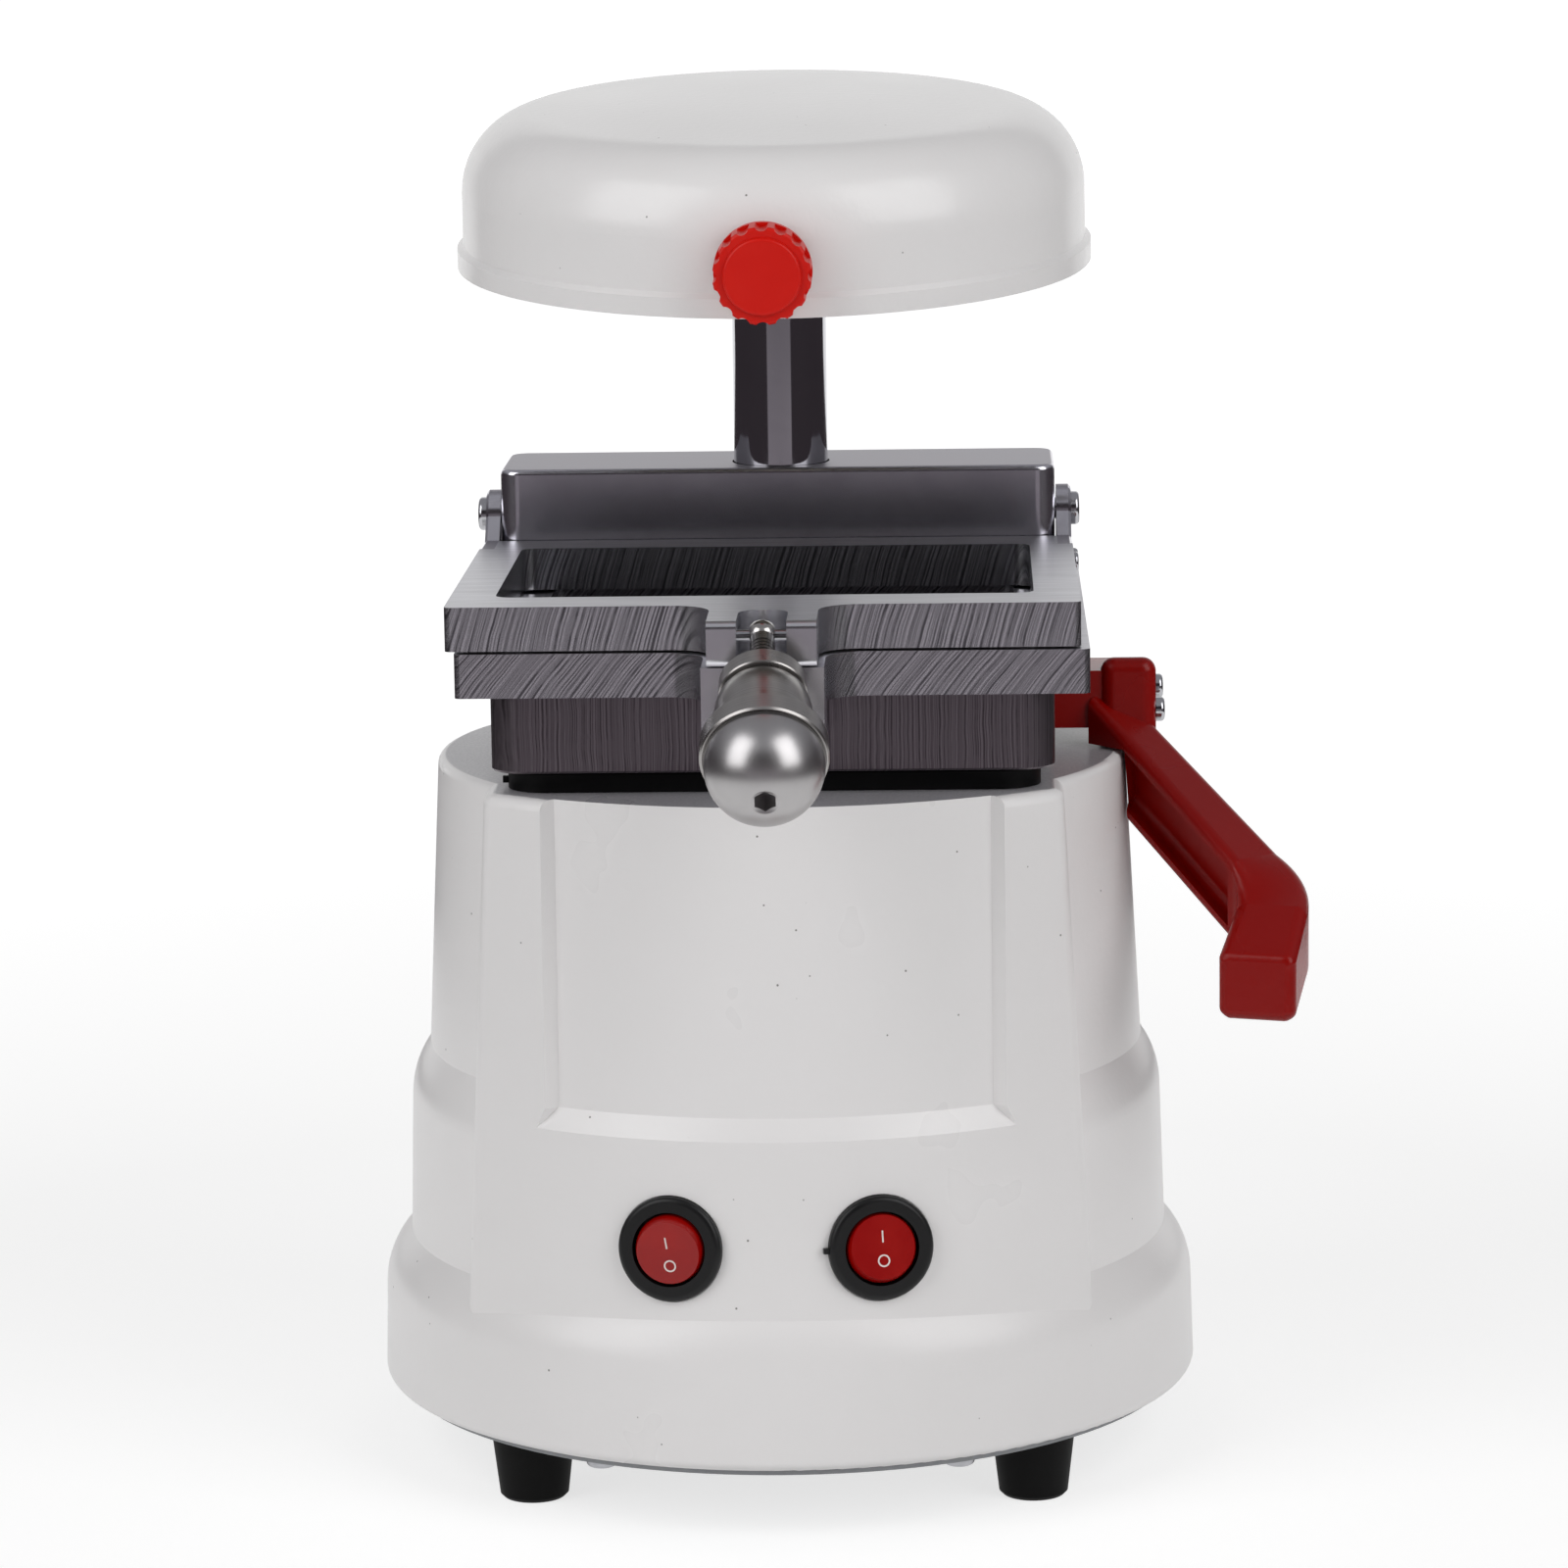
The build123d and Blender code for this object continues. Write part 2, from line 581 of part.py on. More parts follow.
def carriage_block():
    mid_y = (BAR_FRONT_Y + BAR_BACK_Y) / 2
    half_y = (BAR_BACK_Y - BAR_FRONT_Y) / 2
    low = LOWER_Z + PLATE_T
    bar = slab(BAR_HALF, half_y, BAR_CORNER, low, BAR_TOP_Z, BAR_X, mid_y)
    bar = fillet(bar.edges().group_by(Axis.Z)[-1], 1.2)
    bar -= disc(COLUMN_R + 0.4, low - 1, BAR_TOP_Z + 1, COLUMN_X, COLUMN_Y)
    for z0 in BUSH_Z:
        bar -= disc(COLUMN_R + 1.1, z0, z0 + BUSH_L, COLUMN_X, COLUMN_Y)
    for x, y in bar_screw_places():
        bar -= disc(2.1, low - 1, low + 14, x, y)
    for side in (-1, 1):
        hole = Rot(0, 90, 0) * Cylinder(2.0, 30)
        bar -= Pos(BAR_X + side * BAR_HALF, HINGE_Y, HINGE_Z) * hole
    return bar


def carriage_bushes():
    return [tube(COLUMN_R + 1.1, COLUMN_R + 0.06, z0, z0 + BUSH_L, COLUMN_X, COLUMN_Y)
            for z0 in BUSH_Z]


def bar_screws():
    screws = []
    for x, y in bar_screw_places():
        head = Rot(180, 0, 0) * (extrude(Circle(4.0), 4.0) + Pos(0, 0, -8) * Cylinder(2.05, 16))
        head -= Pos(0, 0, -4) * extrude(RegularPolygon(1.7, 6), 2.2)
        screws.append(Pos(x, y, LOWER_Z + 4.5) * head)
    return screws


def upper_frame_plate():
    back = BAR_FRONT_Y - 0.8
    outline = plate_outline(UPPER_X, TONGUE_HALF, UPPER_TONGUE_Y, SLOT_END_Y - SLOT_W / 2, back)
    plate = Pos(0, 0, UPPER_Z) * extrude(outline, PLATE_T)
    window_y = (WINDOW_FRONT_Y + WINDOW_BACK_Y) / 2
    window_half = (WINDOW_BACK_Y - WINDOW_FRONT_Y) / 2
    plate -= slab(WINDOW_HALF_X, window_half, 3.5, UPPER_Z - 1, UPPER_TOP_Z + 1, UPPER_X, window_y)
    tip = [e for e in plate.edges() if e.center().Y < UPPER_TONGUE_Y + 0.1
           and abs(e.center().Z - (UPPER_Z + PLATE_T / 2)) > 4]
    plate = fillet(tip, 1.6)
    for side in (-1, 1):
        notch = Box(2 * STRAP_T, 40, 2 * PLATE_T)
        plate -= Pos(UPPER_X + side * PLATE_HALF, STRAP_FRONT_Y + 20, UPPER_Z) * notch
        for y, z in strap_screw_places():
            hole = Rot(0, 90, 0) * Cylinder(1.4, 20)
            plate -= Pos(UPPER_X + side * PLATE_HALF, y, z) * hole
    plate -= rod(1.25, (CLAMP_X - 20, CLAMP_Y, CLAMP_Z), (CLAMP_X + 20, CLAMP_Y, CLAMP_Z))
    return plate


def strap_screw_places():
    middle = UPPER_Z + PLATE_T / 2
    return [(31.0, middle), (37.0, middle)]


def hinge_strap(side):
    """Flat link from the upper plate's side up to its pivot on the crossbar's end."""
    low = UPPER_Z + 0.2
    foot = Polyline((STRAP_FRONT_Y + 0.2, low), (HINGE_Y + 2, low), (HINGE_Y + STRAP_R, low + 4),
                    (HINGE_Y + STRAP_R, HINGE_Z), (HINGE_Y - STRAP_R, HINGE_Z),
                    (HINGE_Y - STRAP_R - 5, UPPER_TOP_Z), (STRAP_FRONT_Y + 0.2, UPPER_TOP_Z),
                    close=True)
    profile = make_face(foot) + Pos(HINGE_Y, HINGE_Z) * Circle(STRAP_R)
    profile -= Pos(HINGE_Y, HINGE_Z) * Circle(2.6)
    for y, z in strap_screw_places():
        profile -= Pos(y, z) * Circle(1.6)
    strap = extrude(profile, STRAP_T)
    upright = Plane(origin=(0, 0, 0), x_dir=(0, 1, 0), z_dir=(1, 0, 0)) * strap
    outer = [f for f in upright.faces() if abs(f.center().X - (STRAP_T if side > 0 else 0)) < 0.01
             and abs(f.normal_at().X) > 0.9]
    upright = chamfer(outer[0].outer_wire().edges(), 0.6)
    inner_x = UPPER_X + side * (PLATE_HALF - STRAP_T) if side > 0 else UPPER_X - PLATE_HALF
    return Pos(inner_x, 0, 0) * upright


def strap_screws():
    screw = pan_screw(2.3, 1.4, 1.35, 9)
    spots = []
    for side in (-1, 1):
        for y, z in strap_screw_places():
            spots.append(placed(screw, (UPPER_X + side * PLATE_HALF, y, z), (side, 0, 0), (0, 1, 0)))
    return spots


def hinge_screws():
    """Shoulder screws on which the straps turn, threaded into the crossbar."""
    screws = []
    for side in (-1, 1):
        face = UPPER_X + side * PLATE_HALF
        end = BAR_X + side * BAR_HALF
        head = fillet((extrude(Circle(3.9), 1.9)).edges().group_by(Axis.Z)[-1], 0.9)
        head = placed(head, (face + side * 0.1, HINGE_Y, HINGE_Z), (side, 0, 0), (0, 1, 0))
        neck = rod(2.5, (face + side * 0.1, HINGE_Y, HINGE_Z), (end, HINGE_Y, HINGE_Z))
        thread = rod(1.95, (end, HINGE_Y, HINGE_Z), (end - side * 11, HINGE_Y, HINGE_Z))
        screws.append(head + neck + thread)
    return screws


# ---- swing clamp --------------------------------------------------------

def clamp_frame():
    """Local frame of the stud: Z runs from its pivot out to the ball."""
    droop = math.radians(CLAMP_DROOP)
    out = Vector(CLAMP_LEAN, -math.cos(droop), -math.sin(droop))
    across = Vector(1, CLAMP_LEAN / math.cos(droop), 0)
    return Plane(origin=(CLAMP_X, CLAMP_Y, CLAMP_Z), x_dir=across, z_dir=out)


def fork_cross_pin():
    half = TONGUE_HALF - 0.2
    return rod(1.22, (CLAMP_X - half, CLAMP_Y, CLAMP_Z), (CLAMP_X + half, CLAMP_Y, CLAMP_Z))


def swing_stud():
    eye = Sphere(STUD_R + 0.65) & Box(5.3, 20, 20)
    shank = Pos(0, 0, 18) * Cylinder(STUD_R, 36)
    stud = eye + shank
    for k in range(4):
        groove = Cylinder(STUD_R + 1, 0.45) - Cylinder(STUD_R - 0.3, 0.6)
        stud -= Pos(0, 0, 4.6 + k * 1.1) * groove
    stud = clamp_frame() * stud
    return stud - rod(1.28, (CLAMP_X - 6, CLAMP_Y, CLAMP_Z), (CLAMP_X + 6, CLAMP_Y, CLAMP_Z))


def clamp_collar():
    """Loose flanged ring that bears on the lower tongue."""
    ring = turned([(2.95, 0), (8.3, 0), (8.3, 1.9), (6.6, 3.2), (6.6, 6.2), (2.95, 6.2)])
    return clamp_frame() * Pos(0, 0, COLLAR_AT) * ring


def clamp_knob():
    """Bell-shaped nut with a knurled rim."""
    low = COLLAR_AT + 6.4
    bell = turned([(STUD_R + 0.07, low), (8.2, low), (9.6, low + 2), (10.2, low + 5), (9.8, low + 8.5),
                   (11.2, low + 11), (13.0, low + 12), (13.4, low + 12.6), (13.4, low + 18.4),
                   (12.7, low + 19), (11.0, low + 19), (11.0, low + 14), (STUD_R + 0.07, low + 14)])
    ring = Pos(0, 0, low + 15.5) * Cylinder(20, 6.6)
    return clamp_frame() * (bell - (ring - knurled_band(13.4, low + 12, low + 19)))


def knurled_band(radius, low, high):
    """Band with straight upright teeth round it."""
    points = []
    for k in range(2 * KNURL_TEETH):
        reach = radius if k % 2 else radius - KNURL_DEPTH
        angle = math.pi * k / KNURL_TEETH
        points.append((reach * math.cos(angle), reach * math.sin(angle)))
    star = make_face(Polyline(*points, close=True))
    return Pos(0, 0, low) * extrude(star, high - low)


def knob_ball():
    """Ball cap pressed into the knurled rim, with a hexagon socket."""
    low = COLLAR_AT + 6.4 + 14
    ball = Pos(0, 0, KNOB_BALL_AT) * Sphere(BALL_R)
    ball -= Pos(0, 0, low + 5 - 20) * Box(40, 40, 40)
    ball += Pos(0, 0, low + 2.6) * Cylinder(10.9, 5.2)
    ball -= Pos(0, 0, 18 + (low - 8)) * Cylinder(STUD_R + 0.6, 20)
    ball -= Pos(0, 0, KNOB_BALL_AT + 5) * extrude(RegularPolygon(2.6, 6), 12)
    return clamp_frame() * ball


# ---- handle -------------------------------------------------------------

def grip_course():
    """Straight length, bend angle and whole length of the grip in plan."""
    start, bend, end = Vector(*GRIP_START), Vector(*GRIP_BEND), Vector(*GRIP_END)
    turn = math.radians((bend - start).get_angle(end - bend))
    cut = GRIP_BEND_R * math.tan(turn / 2)
    straight = (bend - start).length - cut
    return straight, turn, straight + GRIP_BEND_R * turn + (end - bend).length - cut


def grip_place(along):
    """Point and heading in plan at a distance along the grip."""
    start, bend, end = Vector(*GRIP_START), Vector(*GRIP_BEND), Vector(*GRIP_END)
    straight, turn, whole = grip_course()
    first = (bend - start).normalized()
    last = (end - bend).normalized()
    if along <= straight:
        return start + first * along, first
    if along < straight + GRIP_BEND_R * turn:
        part = math.degrees((along - straight) / GRIP_BEND_R)
        chord = 2 * GRIP_BEND_R * math.sin(math.radians(part / 2))
        way = first.rotate(Axis.Z, -part / 2)
        return start + first * straight + way * chord, first.rotate(Axis.Z, -part)
    return end - last * (whole - along), last


def grip_size(along):
    """Width, upright thickness and height of the upper face along the grip."""
    straight, turn, whole = grip_course()
    if along <= straight:
        share = along / straight
        top = GRIP_TOP_Z + share * (GRIP_BEND_Z - GRIP_TOP_Z)
        return 12.2 + 2.4 * share, GRIP_DEEP, top
    share = (along - straight) / (whole - straight)
    deep = GRIP_DEEP + share * (GRIP_END_DEEP - GRIP_DEEP)
    return 14.6 + 2.7 * share, deep, GRIP_BEND_Z + share * (GRIP_END_Z - GRIP_BEND_Z)


def upright_section(along, inset=0.0, width=None):
    """Rounded upright cross-section of the grip, or of the pocket in its side."""
    place, heading = grip_place(along)
    wide, deep, top = grip_size(along)
    across = Vector(-heading.Y, heading.X, 0)
    corner = 2.6
    if width:
        place -= across * (wide / 2)
        wide = width
        corner = 2.2
    plane = Plane(origin=(place.X, place.Y, top - deep / 2), x_dir=across, z_dir=heading)
    return plane * RectangleRounded(wide, deep - 2 * inset, corner)


def grip():
    straight, turn, whole = grip_course()
    middle = straight + GRIP_BEND_R * turn / 2
    after = straight + GRIP_BEND_R * turn
    bar = loft([upright_section(-8), upright_section(straight)], ruled=True)
    bend = loft([upright_section(s) for s in (straight, middle, after)])
    tip = loft([upright_section(after), upright_section(whole)], ruled=True)
    tip = fillet(tip.faces().sort_by(Axis.Y)[0].edges(), 2.2)
    return bar + bend + tip


def grip_pocket():
    """Weight-saving pocket on the grip's side towards the housing."""
    straight = grip_course()[0]
    return loft([upright_section(s, 3.2, 9.0) for s in (3, straight - 1.5)], ruled=True)


def drum_clearance():
    """The drum's outline with the gap that the handle keeps from it."""
    gap = 0.6
    return turned([(0, 100), (NECK_R + gap, 100), (TOP_R + gap, TOP_Z + gap), (0, TOP_Z + gap)])


def lift_handle():
    """One casting: arm to the chamber skirt, upright block and curved grip."""
    mid_y = (BLOCK_FRONT_Y + BLOCK_BACK_Y) / 2
    long_y = BLOCK_BACK_Y - BLOCK_FRONT_Y
    low = TOP_Z + 0.8
    block = Pos(HANDLE_X, mid_y, (low + BLOCK_TOP_Z) / 2)
    block *= Box(HANDLE_W, long_y, BLOCK_TOP_Z - low)
    wedge = Pos(HANDLE_X, BLOCK_FRONT_Y, BLOCK_TOP_Z) * Rot(-BLOCK_FALL, 0, 0)
    block -= wedge * Pos(0, 0, 10) * Box(40, 80, 20)
    block = fillet(block.edges().filter_by(Axis.Z), 3.2)
    block = fillet(block.faces().sort_by(Axis.Z)[-1].edges(), 3.0)
    arm = Pos((SKIRT_HALF_X + HANDLE_X) / 2, mid_y, 169.0)
    arm *= Box(HANDLE_X - SKIRT_HALF_X, long_y - 4, 13.0)
    handle = grip() - grip_pocket() + block + arm - drum_clearance()
    for y, z in handle_screw_places():
        handle -= rod(1.55, (SKIRT_HALF_X - 1, y, z), (90, y, z))
    return handle


def handle_screw_places():
    return (0.0, 166.2), (11.5, 169.6)


def handle_screws():
    screw = pan_screw(2.8, 2.0, 1.5, 30)
    side = HANDLE_X + HANDLE_W / 2
    return [placed(screw, (side, y, z), (1, 0, 0), (0, 1, 0)) for y, z in handle_screw_places()]


# ---- heater head --------------------------------------------------------

def tilted(solid):
    """From the head's own level frame to its place above the column."""
    return Pos(0, 0, RIM_Z) * Rot(HEAD_DROOP, 0, 0) * solid


def dome_outline(radius, lip, height, shoulder, base):
    """Outline of the dome from its rim to its crown."""
    crown_drop = 4.8
    wall_top = (radius - 0.3, 0, height - crown_drop)
    crown = ThreePointArc((0, 0, height), (radius / 2, 0, height - crown_drop / 4), wall_top)
    wall = Line(wall_top, (radius, 0, base + DOME_LIP_H))
    lines = [crown, wall]
    foot = Polyline((radius, 0, base + DOME_LIP_H), (lip, 0, base + DOME_LIP_H - 1), (lip, 0, base),
                    (0, 0, base), (0, 0, height))
    face = make_face(Curve() + lines + foot)
    corner = [v for v in face.vertices() if abs(v.Z - wall_top[2]) < 0.01 and v.X > 1]
    return fillet(corner, shoulder)


def heater_dome():
    outer = revolve(dome_outline(DOME_R, DOME_LIP_R, DOME_H, DOME_SHOULDER, 0), Axis.Z)
    inner = revolve(dome_outline(DOME_R - DOME_WALL, DOME_LIP_R - DOME_WALL, DOME_H - DOME_WALL,
                                 DOME_SHOULDER - DOME_WALL, -1), Axis.Z)
    middle = revolve(dome_outline(DOME_R - 0.8, DOME_LIP_R - 0.8, DOME_H - 0.8,
                                  DOME_SHOULDER - 0.8, -1), Axis.Z)
    dome = tilted(outer - inner)
    within = tilted(middle)
    dome += disc(12.2, COLUMN_TOP_Z + 1, 320, COLUMN_X, COLUMN_Y) & within
    dome += (Pos(COLUMN_X, COLUMN_Y - 8, 311) * Box(5, 30, 20)) & within
    for x, y in head_post_places():
        dome += tilted(disc(3.6, 27, DOME_H, x, y)) & within
    dome -= disc(SPIGOT_R + 0.08, 270, SPIGOT_TOP_Z + 1.5, COLUMN_X, COLUMN_Y)
    dome -= rod(2.1, (COLUMN_X, COLUMN_Y - 16, 289.5), (COLUMN_X, COLUMN_Y - 5, 289.5))
    for x, y in head_post_places():
        dome -= tilted(disc(1.5, 20, 32.5, x, y))
    dome -= tilted(rod(3.1, (0, -60, KNOB_H), (0, -80, KNOB_H)))
    return dome


def head_post_places():
    places = []
    for turn in (90, 210, 330):
        angle = math.radians(turn + 180)
        places.append((POST_REACH * math.cos(angle), PAN_Y + POST_REACH * math.sin(angle)))
    return places


def heater_set_screw():
    return rod(2.05, (COLUMN_X, COLUMN_Y - 15, 289.5), (COLUMN_X, COLUMN_Y - SPIGOT_R + 0.7, 289.5))


def reflector_pan():
    dish = turned([(0, 26), (PAN_R - 2, 26), (PAN_R, 24), (PAN_R, 5), (PAN_R + 2.5, 4),
                   (PAN_R + 2.5, 5), (PAN_R + 1, 6), (PAN_R + 1, 24.4), (PAN_R - 1.6, 27), (0, 27)])
    for x, y in head_post_places():
        dish -= disc(1.8, 20, 30, x, y - PAN_Y)
    for x in coil_ends():
        dish -= disc(4.2, 20, 30, x, 0)
    return tilted(Pos(0, PAN_Y, 0) * dish)


def ceramic_disc():
    plate = disc(44.4, 15, 21)
    plate = chamfer(plate.edges().group_by(Axis.Z)[0], 1)
    for x, y in head_post_places():
        plate -= disc(1.8, 10, 30, x, y - PAN_Y)
    for x in coil_ends():
        plate -= disc(2.6, 10, 30, x, 0)
    return tilted(Pos(0, PAN_Y, 0) * plate)


def ceramic_spacers():
    ring = tube(3.4, 1.8, 21, 26)
    return [tilted(Pos(x, y, 0) * ring) for x, y in head_post_places()]


def coil_ends():
    """Places of the coil's two legs along its middle line."""
    wide = COIL_START + (COIL_HALVES - 1) * COIL_PITCH / 2
    return -COIL_START, wide


def spiral_path():
    """Flat spiral of half circles, each half a pitch larger than the last."""
    arcs = []
    x = -COIL_START
    side = 1
    radius = COIL_START
    for _ in range(COIL_HALVES):
        end = x + side * 2 * radius
        arcs.append(ThreePointArc((x, 0), ((x + end) / 2, side * radius), (end, 0)))
        x = end
        side = -side
        radius += COIL_PITCH / 2
    return arcs


def heating_element():
    """Tubular heater wound as a flat spiral under the ceramic disc."""
    wire = Wire([a.edge() for a in spiral_path()])
    section = Plane(origin=wire @ 0, z_dir=wire % 0) * Circle(COIL_TUBE_R)
    coil = Pos(0, 0, 12.6) * sweep(section, path=wire)
    for x in coil_ends():
        coil += disc(2.4, 10.6, 30, x, 0)
    return tilted(Pos(0, PAN_Y, 0) * coil)


def heater_screws():
    screw = Pos(0, 0, 15) * Rot(180, 0, 0) * pan_screw(2.5, 1.9, 1.45, 17)
    return [tilted(Pos(x, y, 0) * screw) for x, y in head_post_places()]


def heater_knob():
    """Fluted push knob on the front of the dome."""
    body = extrude(Circle(10.45), 7.6)
    flutes = []
    for k in range(16):
        flutes.append(Rot(0, 0, k * 22.5) * Pos(11.2, 0, 5.0) * Cylinder(1.6, 7.0))
    body = fillet(body.edges().group_by(Axis.Z)[-1], 0.8) - flutes
    face = Pos(0, 0, 7.0) * extrude(Circle(8.3), 1.6)
    face = fillet(face.edges().group_by(Axis.Z)[-1], 0.7)
    neck = Pos(0, 0, -2.2) * extrude(Circle(5.2), 2.4)
    knob = body + face + neck - Pos(0, 0, 0) * Cylinder(2.95, 9)
    return tilted(placed(knob, (0, -DOME_R - 2.2, KNOB_H), (0, -1, 0)))


def heater_knob_stud():
    stud = rod(2.95, (0, -DOME_R + 8, KNOB_H), (0, -DOME_R - 6.6, KNOB_H))
    nut = extrude(RegularPolygon(5, 6, major_radius=False), 3.4) - Cylinder(2.9, 10)
    nut = placed(nut, (0, -DOME_R + DOME_WALL + 0.4, KNOB_H), (0, 1, 0))
    return tilted(stud + nut)


# ---- vacuum motor -------------------------------------------------------

def fan_case():
    shell = disc(FAN_R, FAN_Z, FAN_TOP_Z) - disc(FAN_R - 1.2, FAN_Z + 1.2, FAN_TOP_Z - 1.2)
    shell -= disc(20, FAN_TOP_Z - 5, FAN_TOP_Z + 1)
    shell -= disc(6, FAN_Z - 1, FAN_Z + 5)
    for k in range(8):
        vent = Pos(FAN_R, 0, FAN_Z + 10) * Box(8, 16, 8)
        shell -= Rot(0, 0, k * 45) * vent
    return Pos(0, MOTOR_Y, 0) * shell


def suction_duct():
    return tube(28, 21, FAN_TOP_Z, TOP_Z - ROOF, 0, MOTOR_Y)


def impeller():
    plate = disc(50, 98, 100) + disc(9, 98, 112)
    for k in range(7):
        bow = CenterArc((26, 0), 22, 200, 130)
        blade = Pos(0, 0, 100) * extrude(make_face(trace_band(bow, 1.0)), 12)
        plate += Rot(0, 0, k * 360 / 7) * (blade & tube(48, 8, 100, 113))
    plate += tube(50, 22, 112, 113.4)
    plate -= disc(SHAFT_R, 90, 120)
    return Pos(0, MOTOR_Y, 0) * plate


def trace_band(arc, half):
    """Closed outline of a thin band along an arc."""
    return offset(arc, half).edges()


def motor_can():
    can = tube(MOTOR_R, MOTOR_R - 1.5, 34, FAN_Z) + disc(MOTOR_R, 34, 35.5)
    can += disc(MOTOR_R - 1, 84, 86)
    can += tube(13.5, 11, 79, 86) + tube(13.5, 11, 35, 43)
    can -= disc(11, 78, 87)
    can -= disc(7, 30, 40)
    for k in range(6):
        can -= Rot(0, 0, k * 60) * Pos(28, 0, 34) * extrude(SlotOverall(18, 6), 3)
        can -= Rot(0, 0, k * 60) * Pos(28, 0, 83) * extrude(SlotOverall(18, 6), 4)
    return Pos(0, MOTOR_Y, 0) * can


def motor_stator():
    return tube(MOTOR_R - 1.6, 23, 48, 76, 0, MOTOR_Y)


def motor_bearings():
    rings = []
    for z0 in (35.6, 79):
        rings.append(tube(10.95, SHAFT_R + 0.03, z0, z0 + 7, 0, MOTOR_Y))
    return rings


def armature():
    core = disc(22, 50, 74)
    for k in range(12):
        core -= Rot(0, 0, k * 30) * Pos(21.5, 0, 62) * Box(6, 2.2, 30)
    core += disc(12, 45, 50)
    core -= disc(SHAFT_R, 40, 80)
    return Pos(0, MOTOR_Y, 0) * core


def motor_shaft():
    return disc(SHAFT_R, 31, 116, 0, MOTOR_Y)


def motor_mount_ring():
    ring = tube(66, MOTOR_R + 1, FAN_Z - 2.2, FAN_Z - 0.2)
    hole = disc(2.3, FAN_Z - 5, FAN_Z + 1, 0, -61.5)
    for piece in around(hole, (0, 120, 240)):
        ring -= piece
    return Pos(0, MOTOR_Y, 0) * ring


def motor_mount_screws():
    x, y = motor_post()
    screw = Rot(180, 0, 0) * pan_screw(3.8, 2.6, 1.95, 50)
    return around(Pos(x, y, FAN_Z - 2.2) * screw, (0, 120, 240), 0, MOTOR_Y)


# ---- all pieces ---------------------------------------------------------

def all_parts():
    parts = {
        "base_housing": base_housing(),
        "inlet_gland": inlet_gland(),
        "bottom_cover": bottom_cover(),
        "cover_screws": cover_screws(),
        "foot_screws": foot_screws(),
        "heating_switch_body": switch_body(-1),
        "heating_rocker": rocker(-1),
        "motor_switch_body": switch_body(1),
        "motor_rocker": rocker(1),
        "column": column(),
        "column_washer": column_washer(),
        "column_nut": column_nut(),
        "thrust_washer": thrust_washer(),
        "sealing_gasket": sealing_gasket(),
        "model_platform": model_platform(),
        "lower_frame_plate": lower_frame_plate(),
        "chamber_skirt": chamber_skirt(),
        "skirt_screws": skirt_screws(),
        "carriage_block": carriage_block(),
        "carriage_bushes": carriage_bushes(),
        "carriage_screws": bar_screws(),
        "upper_frame_plate": upper_frame_plate(),
        "hinge_strap_left": hinge_strap(-1),
        "hinge_strap_right": hinge_strap(1),
        "strap_screws": strap_screws(),
        "hinge_screws": hinge_screws(),
        "fork_cross_pin": fork_cross_pin(),
        "swing_stud": swing_stud(),
        "clamp_collar": clamp_collar(),
        "clamp_knob": clamp_knob(),
        "knob_ball": knob_ball(),
        "lift_handle": lift_handle(),
        "handle_screws": handle_screws(),
        "heater_dome": heater_dome(),
        "heater_set_screw": heater_set_screw(),
        "reflector_pan": reflector_pan(),
        "ceramic_disc": ceramic_disc(),
        "ceramic_spacers": ceramic_spacers(),
        "heating_element": heating_element(),
        "heater_screws": heater_screws(),
        "heater_knob": heater_knob(),
        "heater_knob_stud": heater_knob_stud(),
        "fan_case": fan_case(),
        "suction_duct": suction_duct(),
        "impeller": impeller(),
        "motor_can": motor_can(),
        "motor_stator": motor_stator(),
        "motor_bearings": motor_bearings(),
        "armature": armature(),
        "motor_shaft": motor_shaft(),
        "motor_mount_ring": motor_mount_ring(),
        "motor_mount_screws": motor_mount_screws(),
    }
    for name, (x, y) in foot_places().items():
        parts["foot_" + name] = rubber_foot(x, y)
    return parts


def main():
    os.makedirs("parts", exist_ok=True)
    for name, shape in all_parts().items():
        if isinstance(shape, list):
            shape = Compound(children=[solid for item in shape for solid in item.solids()])
        export_step(shape, f"parts/{name}.step")


main()
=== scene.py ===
"""Bench vacuum former for dental sheets, dressed and lit on a plain pale floor.

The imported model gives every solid. This script adds the turned clamp pieces, the printed
switch marks, the finishes, the studio and the camera, and reports each piece as it is made.
"""

import logging
import math
from dataclasses import dataclass, field
from enum import Enum

import bpy
from mathutils import Matrix, Vector

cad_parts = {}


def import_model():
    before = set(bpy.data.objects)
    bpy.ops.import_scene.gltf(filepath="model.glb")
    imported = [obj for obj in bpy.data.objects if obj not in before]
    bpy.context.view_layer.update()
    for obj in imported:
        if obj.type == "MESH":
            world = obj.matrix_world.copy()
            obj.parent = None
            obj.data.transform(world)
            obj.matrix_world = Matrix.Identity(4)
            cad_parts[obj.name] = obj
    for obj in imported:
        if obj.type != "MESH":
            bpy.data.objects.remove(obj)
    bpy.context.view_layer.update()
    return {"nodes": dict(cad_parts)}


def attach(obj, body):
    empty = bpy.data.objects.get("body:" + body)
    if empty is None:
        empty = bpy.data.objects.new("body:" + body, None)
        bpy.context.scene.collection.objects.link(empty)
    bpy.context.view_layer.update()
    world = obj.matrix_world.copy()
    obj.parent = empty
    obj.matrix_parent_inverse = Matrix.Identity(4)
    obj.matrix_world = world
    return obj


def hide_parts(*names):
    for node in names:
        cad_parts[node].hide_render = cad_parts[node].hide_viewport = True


LOG = logging.getLogger("vacuum_former")
MM = 0.001
Node = bpy.types.Node
Piece = bpy.types.Object
Socket = bpy.types.NodeSocket
Tree = bpy.types.NodeTree
Pair = tuple[float, float]
Rgba = tuple[float, float, float, float]
Triple = tuple[float, float, float]
RISING: Pair = (0.0, 1.0)
FALLING: Pair = (1.0, 0.0)


